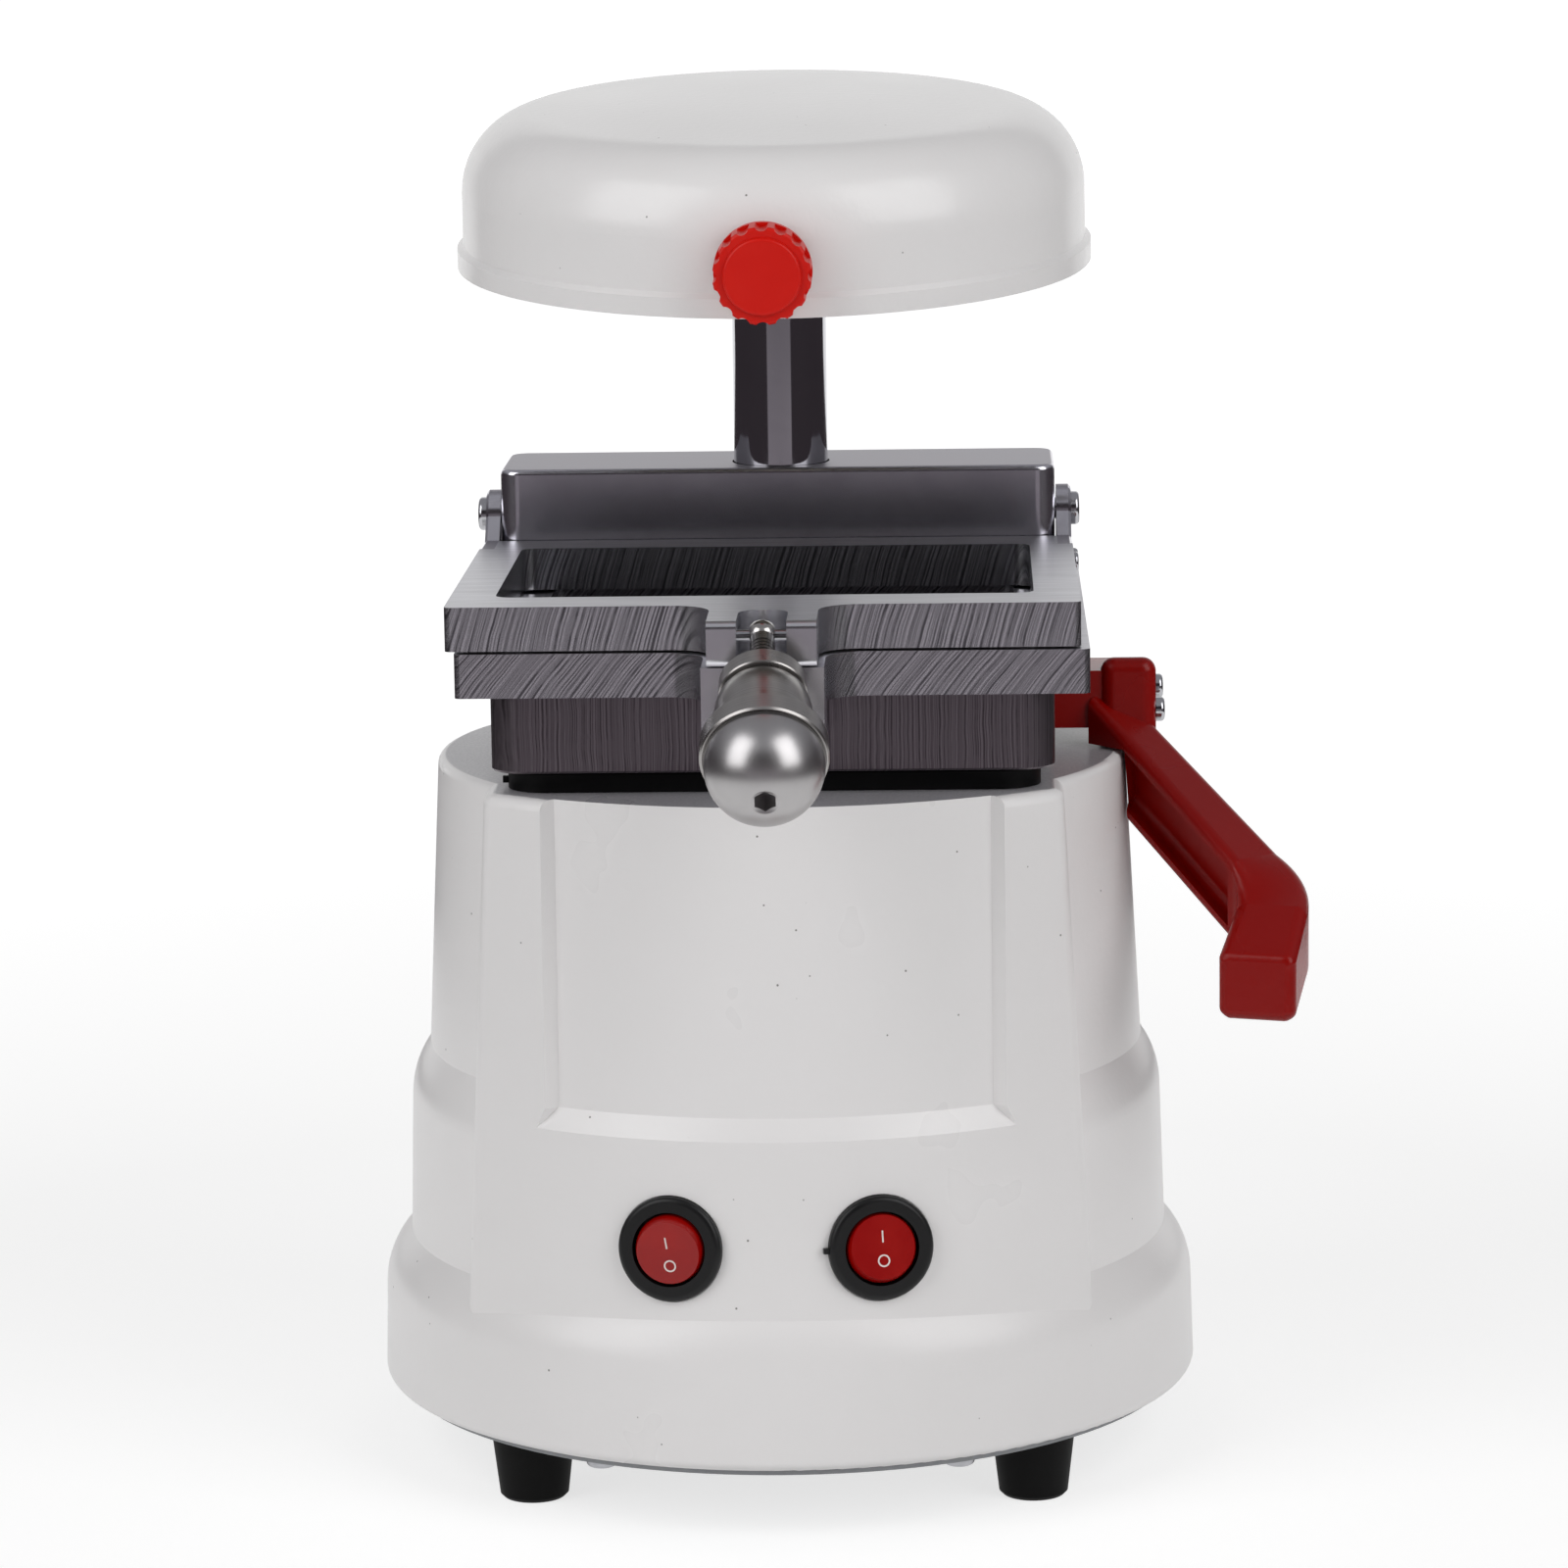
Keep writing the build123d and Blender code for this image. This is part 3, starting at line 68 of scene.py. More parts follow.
def srgb(code: str) -> Rgba:
    """Turns an sRGB hex colour into linear values.

    Args:
        code: The colour as "#RRGGBB".

    Returns:
        Red, green, blue and alpha for a colour socket.
    """
    shares = [int(code[at:at + 2], 16) / 255 for at in (1, 3, 5)]
    linear = [s / 12.92 if s <= 0.04045 else ((s + 0.055) / 1.055) ** 2.4 for s in shares]
    return (linear[0], linear[1], linear[2], 1.0)


def add(tree: Tree, kind: str, sockets: dict | None = None, **settings: str) -> Node:
    """Adds one node with its settings, and links or sets its sockets.

    Args:
        tree: The node tree that takes the node.
        kind: The node's type without the "ShaderNode" in front.
        sockets: Input name or index to another node's output or a plain value.
        **settings: Properties of the node itself.

    Returns:
        The new node.
    """
    node = tree.nodes.new("ShaderNode" + kind)
    for name, value in settings.items():
        setattr(node, name, value)
    for key, value in (sockets or {}).items():
        if isinstance(value, bpy.types.NodeSocket):
            tree.links.new(value, node.inputs[key])
        else:
            node.inputs[key].default_value = value
    return node


def maths(tree: Tree, operation: str, *values: Socket | float) -> Socket:
    """Adds one step of arithmetic.

    Args:
        tree: The node tree.
        operation: Its name in Blender.
        *values: What it works on.

    Returns:
        Its result.
    """
    return add(tree, "Math", dict(enumerate(values)), operation=operation).outputs[0]


def noise(tree: Tree, at: Socket, size_mm: float, detail: float, warp: float = 0.0) -> Socket:
    """Adds patches of a real size.

    Args:
        tree: The node tree.
        at: The place.
        size_mm: The size of its largest patches.
        detail: How many finer layers there are.
        warp: How far the patches are pulled about.

    Returns:
        Its height, from 0 to 1.
    """
    sockets = {"Vector": at, "Scale": 1 / (size_mm * MM), "Detail": detail, "Distortion": warp}
    return add(tree, "TexNoise", sockets).outputs[0]


def stripes(tree: Tree, along: Socket, size_mm: float, detail: float, rough: float = 0.5) -> Socket:
    """Adds uneven stripes that cross one direction.

    Args:
        tree: The node tree.
        along: The distance in that direction.
        size_mm: The width of the widest stripes.
        detail: How many finer layers there are.
        rough: How strong the finer layers are.

    Returns:
        Their height, from 0 to 1.
    """
    sockets = {"W": along, "Scale": 1 / (size_mm * MM), "Detail": detail, "Roughness": rough}
    return add(tree, "TexNoise", sockets, noise_dimensions="1D").outputs[0]


def ramp(tree: Tree, value: Socket, start: Pair = RISING, end: Pair = RISING) -> Socket:
    """Maps one range to another and holds the value beyond it.

    Args:
        tree: The node tree.
        value: The value.
        start: The range it is taken from.
        end: What the ends of that range become.

    Returns:
        The mapped value.
    """
    ranges = {"From Min": start[0], "From Max": start[1], "To Min": end[0], "To Max": end[1]}
    return add(tree, "MapRange", {"Value": value, **ranges}).outputs[0]


def between(tree: Tree, share: Socket, low: Socket | float, high: Socket | float) -> Socket:
    """Goes from one number to another.

    Args:
        tree: The node tree.
        share: 0 for the first and 1 for the second.
        low: The first number.
        high: The second number.

    Returns:
        The number between them.
    """
    return add(tree, "Mix", {0: share, 2: low, 3: high}).outputs[0]


def tinted(tree: Tree, share: Socket, first: Socket | str, second: str) -> Socket:
    """Goes from one colour to another.

    Args:
        tree: The node tree.
        share: 0 for the first and 1 for the second.
        first: The first colour, as sRGB hex or another node's output.
        second: The second colour, as sRGB hex.

    Returns:
        The colour between them.
    """
    start = srgb(first) if isinstance(first, str) else first
    mix = add(tree, "Mix", {0: share, 6: start, 7: srgb(second)}, data_type="RGBA")
    return mix.outputs[2]


def pick(piece: Piece) -> None:
    """Makes one piece the only selected and the active one.

    Args:
        piece: The piece.
    """
    bpy.ops.object.select_all(action="DESELECT")
    piece.select_set(True)
    bpy.context.view_layer.objects.active = piece


def local_frame(origin: Vector, across: Vector, out: Vector) -> Matrix:
    """Builds the frame of a tilted seat.

    Args:
        origin: The seat's middle, in metres.
        across: Its X direction, roughly.
        out: Its Z direction.

    Returns:
        The matrix from the seat's own frame to the object's.
    """
    z = out.normalized()
    y = z.cross(across).normalized()
    x = y.cross(z)
    turn = Matrix((x, y, z)).transposed().to_4x4()
    return Matrix.Translation(origin) @ turn


# ---- finishes ---------------------------------------------------------------


class Grain(Enum):
    """Which way worked lines run on upright faces: their slope, and how it bends."""

    STEEP = (-0.22, -6.0)
    SLANTED = (-0.95, -14.0)
    UPRIGHT = (0.0, 0.0)


@dataclass(frozen=True)
class Finish:
    """A real material and the way its surface was made."""

    name: str
    colour: str
    roughness: float
    metallic: float = 0.0
    gleam: float = 0.5
    spread: Pair = (-0.04, 0.08)

    def material(self) -> bpy.types.Material:
        """Returns this finish's material, made on its first use."""
        known = bpy.data.materials.get(self.name)
        if known:
            return known
        made = bpy.data.materials.new(self.name)
        made.use_nodes = True
        tree = made.node_tree
        tree.nodes.clear()
        plain = {
            "Base Color": srgb(self.colour),
            "Metallic": self.metallic,
            "Roughness": self.roughness,
            "Specular IOR Level": self.gleam,
        }
        shader = add(tree, "BsdfPrincipled", plain)
        add(tree, "OutputMaterial", {"Surface": shader.outputs[0]})
        place = add(tree, "TexCoord")
        self.pattern(tree, shader, place)
        return made

    def pattern(self, tree: Tree, shader: Node, place: Node) -> None:
        """Adds the surface's detail.

        Args:
            tree: The material's node tree.
            shader: Its Principled shader.
            place: Its Texture Coordinate node.
        """
        raise NotImplementedError(self.name)

    def vary(self, tree: Tree, shader: Node, share: Socket, other: str) -> None:
        """Lets the base colour go from this finish's to another.

        Args:
            tree: The material's node tree.
            shader: Its Principled shader.
            share: The output that says how much of the other colour there is.
            other: The other colour, as sRGB hex.
        """
        tree.links.new(tinted(tree, share, self.colour, other), shader.inputs["Base Color"])

    def spread_roughness(self, tree: Tree, shader: Node, share: Socket) -> None:
        """Lets the roughness go through its spread with an output from 0 to 1.

        Args:
            tree: The material's node tree.
            shader: Its Principled shader.
            share: The output that drives it.
        """
        ends = (self.roughness + self.spread[0], self.roughness + self.spread[1])
        tree.links.new(ramp(tree, share, end=ends), shader.inputs["Roughness"])

    def emboss(self, tree: Tree, shader: Node, height: Socket, deep_mm: float) -> None:
        """Turns a height from 0 to 1 into relief of a real depth.

        Args:
            tree: The material's node tree.
            shader: Its Principled shader.
            height: The output that holds the height.
            deep_mm: The relief's depth in millimetres.
        """
        relief = {"Height": height, "Distance": deep_mm * MM, "Strength": 1.0}
        tree.links.new(add(tree, "Bump", relief).outputs[0], shader.inputs["Normal"])


@dataclass(frozen=True)
class PowderCoat(Finish):
    """Baked powder on a casting: glossy, with a soft orange peel and a few dark specks."""

    spread: Pair = (-0.05, 0.08)
    peel_mm: float = 1.5
    peel_deep_mm: float = 0.035
    speck_mm: float = 0.6
    speck_gap_mm: float = 7.5
    speck_core: float = 0.6
    speck_share: Pair = (0.85, 0.0)
    speck: str = "#5A5752"
    cloud_mm: float = 45.0
    cloud_from: Pair = (0.4, 0.9)
    cloud_share: Pair = (0.0, 0.12)
    shade: str = "#D0CFCD"
    grit_mm: float = 0.6
    grit_from: Pair = (0.3, 0.7)
    grit_share: Pair = (0.7, 1.0)
    level_from: Pair = (0.97, 0.999)
    # Colour of the painted shade on faces that look up; empty leaves them plain.
    painted_top_shade: str = ""

    def pattern(self, tree: Tree, shader: Node, place: Node) -> None:
        """Adds the peel, the specks, a faint unevenness and a grey level top that is painted shade,
        broken up by grit.

        Args:
            tree: The material's node tree.
            shader: Its Principled shader.
            place: Its Texture Coordinate node.
        """
        at = place.outputs["Object"]
        self.emboss(tree, shader, noise(tree, at, self.peel_mm, 1.0), self.peel_deep_mm)
        cell = add(tree, "TexVoronoi", {"Vector": at, "Scale": 1 / (self.speck_gap_mm * MM)})
        reach = self.speck_mm / 2 / self.speck_gap_mm
        speck = ramp(tree, cell.outputs["Distance"], (reach * self.speck_core, reach),
                     self.speck_share)
        cloud = noise(tree, at, self.cloud_mm, 3.0)
        thin = ramp(tree, cloud, self.cloud_from, self.cloud_share)
        base = tinted(tree, thin, self.colour, self.shade)
        # Painted shade: faces that look up take the grey top colour, broken up by the grit noise.
        facing = add(tree, "SeparateXYZ", {0: place.outputs["Normal"]})
        level = ramp(tree, facing.outputs[2], self.level_from)
        sandy = ramp(tree, noise(tree, at, self.grit_mm, 2.0), self.grit_from, self.grit_share)
        whole = tinted(tree, maths(tree, "MULTIPLY", level, sandy),
                       tinted(tree, speck, base, self.speck), self.painted_top_shade or self.colour)
        tree.links.new(whole, shader.inputs["Base Color"])
        self.spread_roughness(tree, shader, cloud)


@dataclass(frozen=True)
class WorkedMetal(Finish):
    """Aluminium with cutter marks on its upright faces and fine rubbed marks on its flats."""

    grain: Grain = Grain.STEEP
    line_mm: float = 0.75
    line_deep_mm: float = 0.022
    dark: str = "#6E6D72"
    edge_middle_mm: float = 190.0
    wobble_mm: float = 9.0
    wobble_reach: float = 0.0009
    patch_mm: float = 4.0
    patch_from: Pair = (0.35, 0.6)
    patch_share: Pair = (0.35, 1.0)
    tone_from: Pair = (0.38, 0.58)
    flat_from: Pair = (0.6, 0.8)
    flat_roughness: float = 0.36
    rub_mm: Triple = (18.0, 0.5, 0.5)
    rub_height: Pair = (0.42, 0.58)
    polished_to_mm: Pair = (16.0, -70.0)
    polished_fade_mm: Pair = (6.0, 4.0)
    polished_height: float = 0.62

    def edge_lines(self, tree: Tree, part: Node, at: Socket) -> Socket:
        """Adds the cutter's curved marks, which follow the plate's outline.

        Args:
            tree: The material's node tree.
            part: The place split into X, Y and Z.
            at: The place itself.

        Returns:
            The marks' height from 0 to 1.
        """
        lean, bow = self.grain.value
        along = maths(tree, "ADD", part.outputs[0], part.outputs[1])
        lift = maths(tree, "ADD", part.outputs[2], -self.edge_middle_mm * MM)
        curve = maths(tree, "MULTIPLY_ADD", lift, bow, lean)
        slant = maths(tree, "MULTIPLY_ADD", lift, curve, along)
        wobble = noise(tree, at, self.wobble_mm, 1.0)
        drift = maths(tree, "MULTIPLY_ADD", wobble, self.wobble_reach, slant)
        lines = stripes(tree, drift, self.line_mm, 1.5, 0.75)
        patch = noise(tree, at, self.patch_mm, 2.0)
        fade = ramp(tree, patch, self.patch_from, self.patch_share)
        return between(tree, fade, 0.5, lines)

    def tongue_share(self, tree: Tree, part: Node) -> Socket:
        """Adds the mask of the hand-polished tongue at the front.

        Args:
            tree: The material's node tree.
            part: The place split into X, Y and Z.

        Returns:
            1 on the tongue and 0 elsewhere.
        """
        masks = []
        places = (maths(tree, "ABSOLUTE", part.outputs[0]), part.outputs[1])
        for place, edge, fade in zip(places, self.polished_to_mm, self.polished_fade_mm):
            masks.append(ramp(tree, place, (edge * MM, (edge + fade) * MM), FALLING))
        return maths(tree, "MULTIPLY", *masks)

    def pattern(self, tree: Tree, shader: Node, place: Node) -> None:
        """Adds curved cutter lines up the edges and stretched rubbing on the flats.

        Args:
            tree: The material's node tree.
            shader: Its Principled shader.
            place: Its Texture Coordinate node.
        """
        at = place.outputs["Object"]
        part = add(tree, "SeparateXYZ", {0: at})
        lines = self.edge_lines(tree, part, at)
        calm = between(tree, self.tongue_share(tree, part), lines, self.polished_height)
        scale = tuple(1 / (size * MM) for size in self.rub_mm)
        rub_at = add(tree, "Mapping", {0: at, 3: scale})
        rub = add(tree, "TexNoise", {"Vector": rub_at.outputs[0], "Scale": 1.0, "Detail": 3.0})
        facing = add(tree, "SeparateXYZ", {0: place.outputs["Normal"]})
        flat = ramp(tree, maths(tree, "ABSOLUTE", facing.outputs[2]), self.flat_from)
        soft = ramp(tree, rub.outputs[0], end=self.rub_height)
        height = between(tree, flat, calm, soft)
        self.emboss(tree, shader, height, self.line_deep_mm)
        self.vary(tree, shader, ramp(tree, height, self.tone_from, FALLING), self.dark)
        dull = between(tree, flat, self.roughness, self.flat_roughness)
        tree.links.new(dull, shader.inputs["Roughness"])


@dataclass(frozen=True)
class TurnedMetal(Finish):
    """Metal turned on a lathe: fine rings round its own axis."""

    spread: Pair = (-0.04, 0.05)
    axis: Matrix = field(default_factory=Matrix)
    ring_mm: float = 0.35
    ring_deep_mm: float = 0.006
    ring_from: Pair = (0.35, 0.6)
    ring_share: Pair = (0.5, 0.0)
    haze_mm: float = 8.0
    dark: str = "#8C8A88"

    def pattern(self, tree: Tree, shader: Node, place: Node) -> None:
        """Adds the tool's rings and a little handling haze.

        Args:
            tree: The material's node tree.
            shader: Its Principled shader.
            place: Its Texture Coordinate node.
        """
        spot, turn, _ = self.axis.decompose()
        own = add(tree, "Mapping", {0: place.outputs["Object"], 1: spot, 2: turn.to_euler()},
                  vector_type="TEXTURE")
        part = add(tree, "SeparateXYZ", {0: own.outputs[0]})
        rings = stripes(tree, part.outputs[2], self.ring_mm, 2.0)
        self.emboss(tree, shader, rings, self.ring_deep_mm)
        self.spread_roughness(tree, shader, noise(tree, own.outputs[0], self.haze_mm, 3.0))
        self.vary(tree, shader, ramp(tree, rings, self.ring_from, self.ring_share), self.dark)


@dataclass(frozen=True)
class SmoothMetal(Finish):
    """Plated or polished metal: bright, with faint wiping marks."""

    spread: Pair = (0.0, 0.05)
    haze_mm: float = 9.0
    haze_warp: float = 0.4
    dark: str = "#B9B9BE"
    level_from: Pair = (0.8, 0.95)
    # Colour of the painted shade on faces that look up; empty leaves them plain.
    painted_top_shade: str = ""
    level_roughness: float = 0.42

    def pattern(self, tree: Tree, shader: Node, place: Node) -> None:
        """Adds patches that are a little duller, and a rougher top with painted shade in its colour
        where there is one.

        Args:
            tree: The material's node tree.
            shader: Its Principled shader.
            place: Its Texture Coordinate node.
        """
        haze = noise(tree, place.outputs["Object"], self.haze_mm, 4.0, self.haze_warp)
        if not self.painted_top_shade:
            self.spread_roughness(tree, shader, haze)
            self.vary(tree, shader, haze, self.dark)
            return
        # Painted shade: faces that look up take the darker top colour, and a higher roughness.
        facing = add(tree, "SeparateXYZ", {0: place.outputs["Normal"]})
        level = ramp(tree, facing.outputs[2], self.level_from,
                     (self.roughness, self.level_roughness))
        share = ramp(tree, facing.outputs[2], self.level_from)
        whole = tinted(tree, share, tinted(tree, haze, self.colour, self.dark), self.painted_top_shade)
        tree.links.new(level, shader.inputs["Roughness"])
        tree.links.new(whole, shader.inputs["Base Color"])


@dataclass(frozen=True)
class Moulded(Finish):
    """Moulded plastic or rubber: even colour, fine grain from the tool."""

    grain_mm: float = 0.5
    grain_deep_mm: float = 0.01
    patch_mm: float = 7.0
    patch_from: Pair = (0.45, 0.75)
    wear: float = 0.25
    worn: str = "#3A3A3A"

    def pattern(self, tree: Tree, shader: Node, place: Node) -> None:
        """Adds the grain and slightly rubbed, lighter patches.

        Args:
            tree: The material's node tree.
            shader: Its Principled shader.
            place: Its Texture Coordinate node.
        """
        at = place.outputs["Object"]
        self.emboss(tree, shader, noise(tree, at, self.grain_mm, 2.0), self.grain_deep_mm)
        patch = noise(tree, at, self.patch_mm, 3.0)
        tone = ramp(tree, patch, self.patch_from, (0.0, self.wear))
        self.vary(tree, shader, tone, self.worn)
        self.spread_roughness(tree, shader, patch)


@dataclass(frozen=True)
class Translucent(Moulded):
    """Clear tinted plastic with light from inside its thickness."""

    clear: float = 0.12
    bend: float = 1.5

    def pattern(self, tree: Tree, shader: Node, place: Node) -> None:
        """Adds the tint's depth on top of the moulded grain.

        Args:
            tree: The material's node tree.
            shader: Its Principled shader.
            place: Its Texture Coordinate node.
        """
        super().pattern(tree, shader, place)
        shader.inputs["Transmission Weight"].default_value = self.clear
        shader.inputs["IOR"].default_value = self.bend


# White powder on the smooth dome casting: the glossiest white.
WHITE_COAT = PowderCoat("powder_coated_cast_aluminium", "#EDEBEB", 0.22)
# The same powder on the housing; the grey of its gritty level top is painted shade for the dimmer
# top.
HOUSING_COAT = PowderCoat("powder_coated_housing", "#ECEAEA", 0.28, painted_top_shade="#A19FA5")
# Thin half-matt paint on folded sheet, under the base.
GREY_PAINT = PowderCoat("painted_sheet_steel", "#8F9194", 0.5, speck="#77797C", shade="#85878A")
# Deep red enamel with a long, soft peel and small highlights.
RED_COAT = PowderCoat("red_enamelled_casting", "#8A0400", 0.26, gleam=0.22, peel_mm=2.2,
                      speck="#6A0502", shade="#7C0601")
# Sawn and milled edges whose dark cutter lines run steeply, on the upper plate.
MILLED_STEEP = WorkedMetal("milled_aluminium_upper", "#DADADF", 0.24, 1.0, grain=Grain.STEEP)
# The lower plate's lines lean over and bend more.
MILLED_SLANTED = WorkedMetal("milled_aluminium_lower", "#D6D5DA", 0.22, 1.0,
                             grain=Grain.SLANTED)
# Finer upright brushing below the plates; its dark grey is painted shade from the plates above.
BRUSHED_SKIRT_PAINTED_SHADE = WorkedMetal("brushed_aluminium_skirt_painted_shade", "#7C747A", 0.30, 1.0,
                              grain=Grain.UPRIGHT, line_mm=0.45, line_deep_mm=0.010,
                              dark="#4E474C")
# Buffed sides that mirror the room, and a duller satin top whose darker grey is painted shade.
POLISHED = SmoothMetal("hand_polished_aluminium", "#DCDCE2", 0.20, 1.0, dark="#C2BFC8",
                       painted_top_shade="#96939A")
# Hard chromium: a clear mirror, slightly cool.
CHROME = SmoothMetal("chromium_plated_steel", "#C9C9CD", 0.05, 1.0)
# Bright screw heads with sharp glints.
BRIGHT_SCREW = SmoothMetal("nickel_plated_steel", "#BDBDC0", 0.14, 1.0, haze_mm=2.0)
# Cheaper screws: greyer, with blurred glints.
ZINC_SCREW = SmoothMetal("zinc_plated_steel", "#A2A3A6", 0.32, 1.0, haze_mm=2.0)
# Ground shafts and races: even and fairly bright.
GROUND_STEEL = SmoothMetal("ground_bearing_steel", "#A8A9AC", 0.2, 1.0, haze_mm=3.0)
# Cast skin straight from the die: dull grey.
PLAIN_ALUMINIUM = SmoothMetal("die_cast_aluminium", "#A5A7AA", 0.42, 1.0, haze_mm=4.0)
# Punched stainless sheet with its mill finish.
PERFORATED = SmoothMetal("perforated_stainless_sheet", "#9A9B9E", 0.35, 1.0, haze_mm=12.0)
# Bright-rolled sheet that throws the heat down.
REFLECTOR = SmoothMetal("bright_rolled_aluminium", "#D2D2D2", 0.12, 1.0, haze_mm=15.0)
# Machined brass, warm and slightly tarnished.
BRASS = SmoothMetal("turned_brass", "#C39A4A", 0.25, 1.0, haze_mm=4.0, dark="#A37C36")
# Stacked sheets under dark varnish, half metal to the eye.
IRON_CORE = Moulded("varnished_iron_laminations", "#3C3D40", 0.45, 0.6, grain_mm=0.5)
# Pressed and fired, cream and quite matt.
CERAMIC = Moulded("unglazed_ceramic", "#E2DACB", 0.7, worn="#CFC4B0", grain_mm=0.8)
# Steel sheath browned by its own heat.
HEATER_TUBE = SmoothMetal("heat_darkened_steel", "#5B534C", 0.4, 1.0, haze_mm=5.0,
                          dark="#3D3833")
# Switch bezels with a fine spark-eroded grain.
BLACK_PLASTIC = Moulded("moulded_nylon_black", "#0C0C0D", 0.34, gleam=0.3, grain_mm=0.35,
                        worn="#1C1C1D")
# Feet and bushing: deep black, nearly without gloss.
BLACK_RUBBER = Moulded("moulded_rubber_black", "#090909", 0.6, gleam=0.12, grain_mm=0.6,
                       worn="#161616")
# Cut from sheet, smoother than the moulded feet.
GASKET_RUBBER = Moulded("cut_rubber_sheet_black", "#070708", 0.5, gleam=0.15, grain_mm=0.8,
                        worn="#141414")
# Bright opaque red with a soft sheen.
RED_KNOB = Moulded("moulded_polypropylene_red", "#D31204", 0.34, gleam=0.25, grain_mm=0.6,
                   worn="#DC2010")
# Rocker lens: dark red and glossy, lit a little from within.
RED_LENS = Translucent("moulded_polycarbonate_red", "#9E0503", 0.16, gleam=0.35,
                       worn="#C01A0C", grain_deep_mm=0.003)
# Pad-printed ink, slightly pink over the red.
WHITE_PRINT = Moulded("printed_white_ink", "#E9DDDA", 0.5, grain_mm=0.2,
                      grain_deep_mm=0.002, worn="#D8C4C0")


# ---- sub-assemblies ---------------------------------------------------------


@dataclass
class SubAssembly:
    """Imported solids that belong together, with the pieces added to them."""

    title: str
    finishes: dict[str, Finish]

    def build(self) -> list[Piece]:
        """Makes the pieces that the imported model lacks; none here."""
        return []

    def dress(self, nodes: dict[str, Piece]) -> None:
        """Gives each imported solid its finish.

        Args:
            nodes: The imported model's objects by name.
        """
        for name, finish in self.finishes.items():
            solid = nodes[name]
            solid.data.materials.clear()
            solid.data.materials.append(finish.material())
            LOG.info("%s: %s in %s", self.title, name, finish.name)


class Housing(SubAssembly):
    """The round casting with its cover, feet and inlet."""

    def __init__(self) -> None:
        corners = [(row, side) for row in ("front", "rear") for side in ("left", "right")]
        feet = {f"foot_{row}_{side}": BLACK_RUBBER for row, side in corners}
        super().__init__("housing", feet | {
            "base_housing": HOUSING_COAT,
            "inlet_gland": BLACK_RUBBER,
            "bottom_cover": GREY_PAINT,
            "cover_screws": ZINC_SCREW,
            "foot_screws": ZINC_SCREW,
            "model_platform": PERFORATED,
            "sealing_gasket": GASKET_RUBBER,
        })


class SuctionMotor(SubAssembly):
    """The motor, its fan and what holds them under the roof."""

    def __init__(self) -> None:
        super().__init__("suction motor", {
            "fan_case": PLAIN_ALUMINIUM,
            "suction_duct": GASKET_RUBBER,
            "impeller": PLAIN_ALUMINIUM,
            "motor_can": PLAIN_ALUMINIUM,
            "motor_stator": IRON_CORE,
            "motor_bearings": GROUND_STEEL,
            "armature": IRON_CORE,
            "motor_shaft": GROUND_STEEL,
            "motor_mount_ring": GROUND_STEEL,
            "motor_mount_screws": ZINC_SCREW,
        })


class Column(SubAssembly):
    """The chromed column and the crossbar that slides on it."""

    def __init__(self) -> None:
        super().__init__("column", {
            "column": CHROME,
            "column_washer": ZINC_SCREW,
            "column_nut": ZINC_SCREW,
            "thrust_washer": BRASS,
            "carriage_block": POLISHED,
            "carriage_bushes": BRASS,
            "carriage_screws": ZINC_SCREW,
            "hinge_screws": BRIGHT_SCREW,
        })


class SheetFrame(SubAssembly):
    """The two plates that hold the sheet, their skirt and straps."""

    def __init__(self) -> None:
        super().__init__("sheet frame", {
            "lower_frame_plate": MILLED_SLANTED,
            "upper_frame_plate": MILLED_STEEP,
            "chamber_skirt": BRUSHED_SKIRT_PAINTED_SHADE,
            "skirt_screws": ZINC_SCREW,
            "hinge_strap_left": POLISHED,
            "hinge_strap_right": POLISHED,
            "strap_screws": BRIGHT_SCREW,
        })


class LiftHandle(SubAssembly):
    """The red handle at the frame's right side."""

    def __init__(self) -> None:
        super().__init__("handle", {"lift_handle": RED_COAT, "handle_screws": BRIGHT_SCREW})


class HeaterHead(SubAssembly):
    """The dome with its coil, reflector and push knob."""

    def __init__(self) -> None:
        super().__init__("heater head", {
            "heater_dome": WHITE_COAT,
            "heater_set_screw": ZINC_SCREW,
            "reflector_pan": REFLECTOR,
            "ceramic_disc": CERAMIC,
            "ceramic_spacers": CERAMIC,
            "heating_element": HEATER_TUBE,
            "heater_screws": ZINC_SCREW,
            "heater_knob": RED_KNOB,
            "heater_knob_stud": ZINC_SCREW,
        })


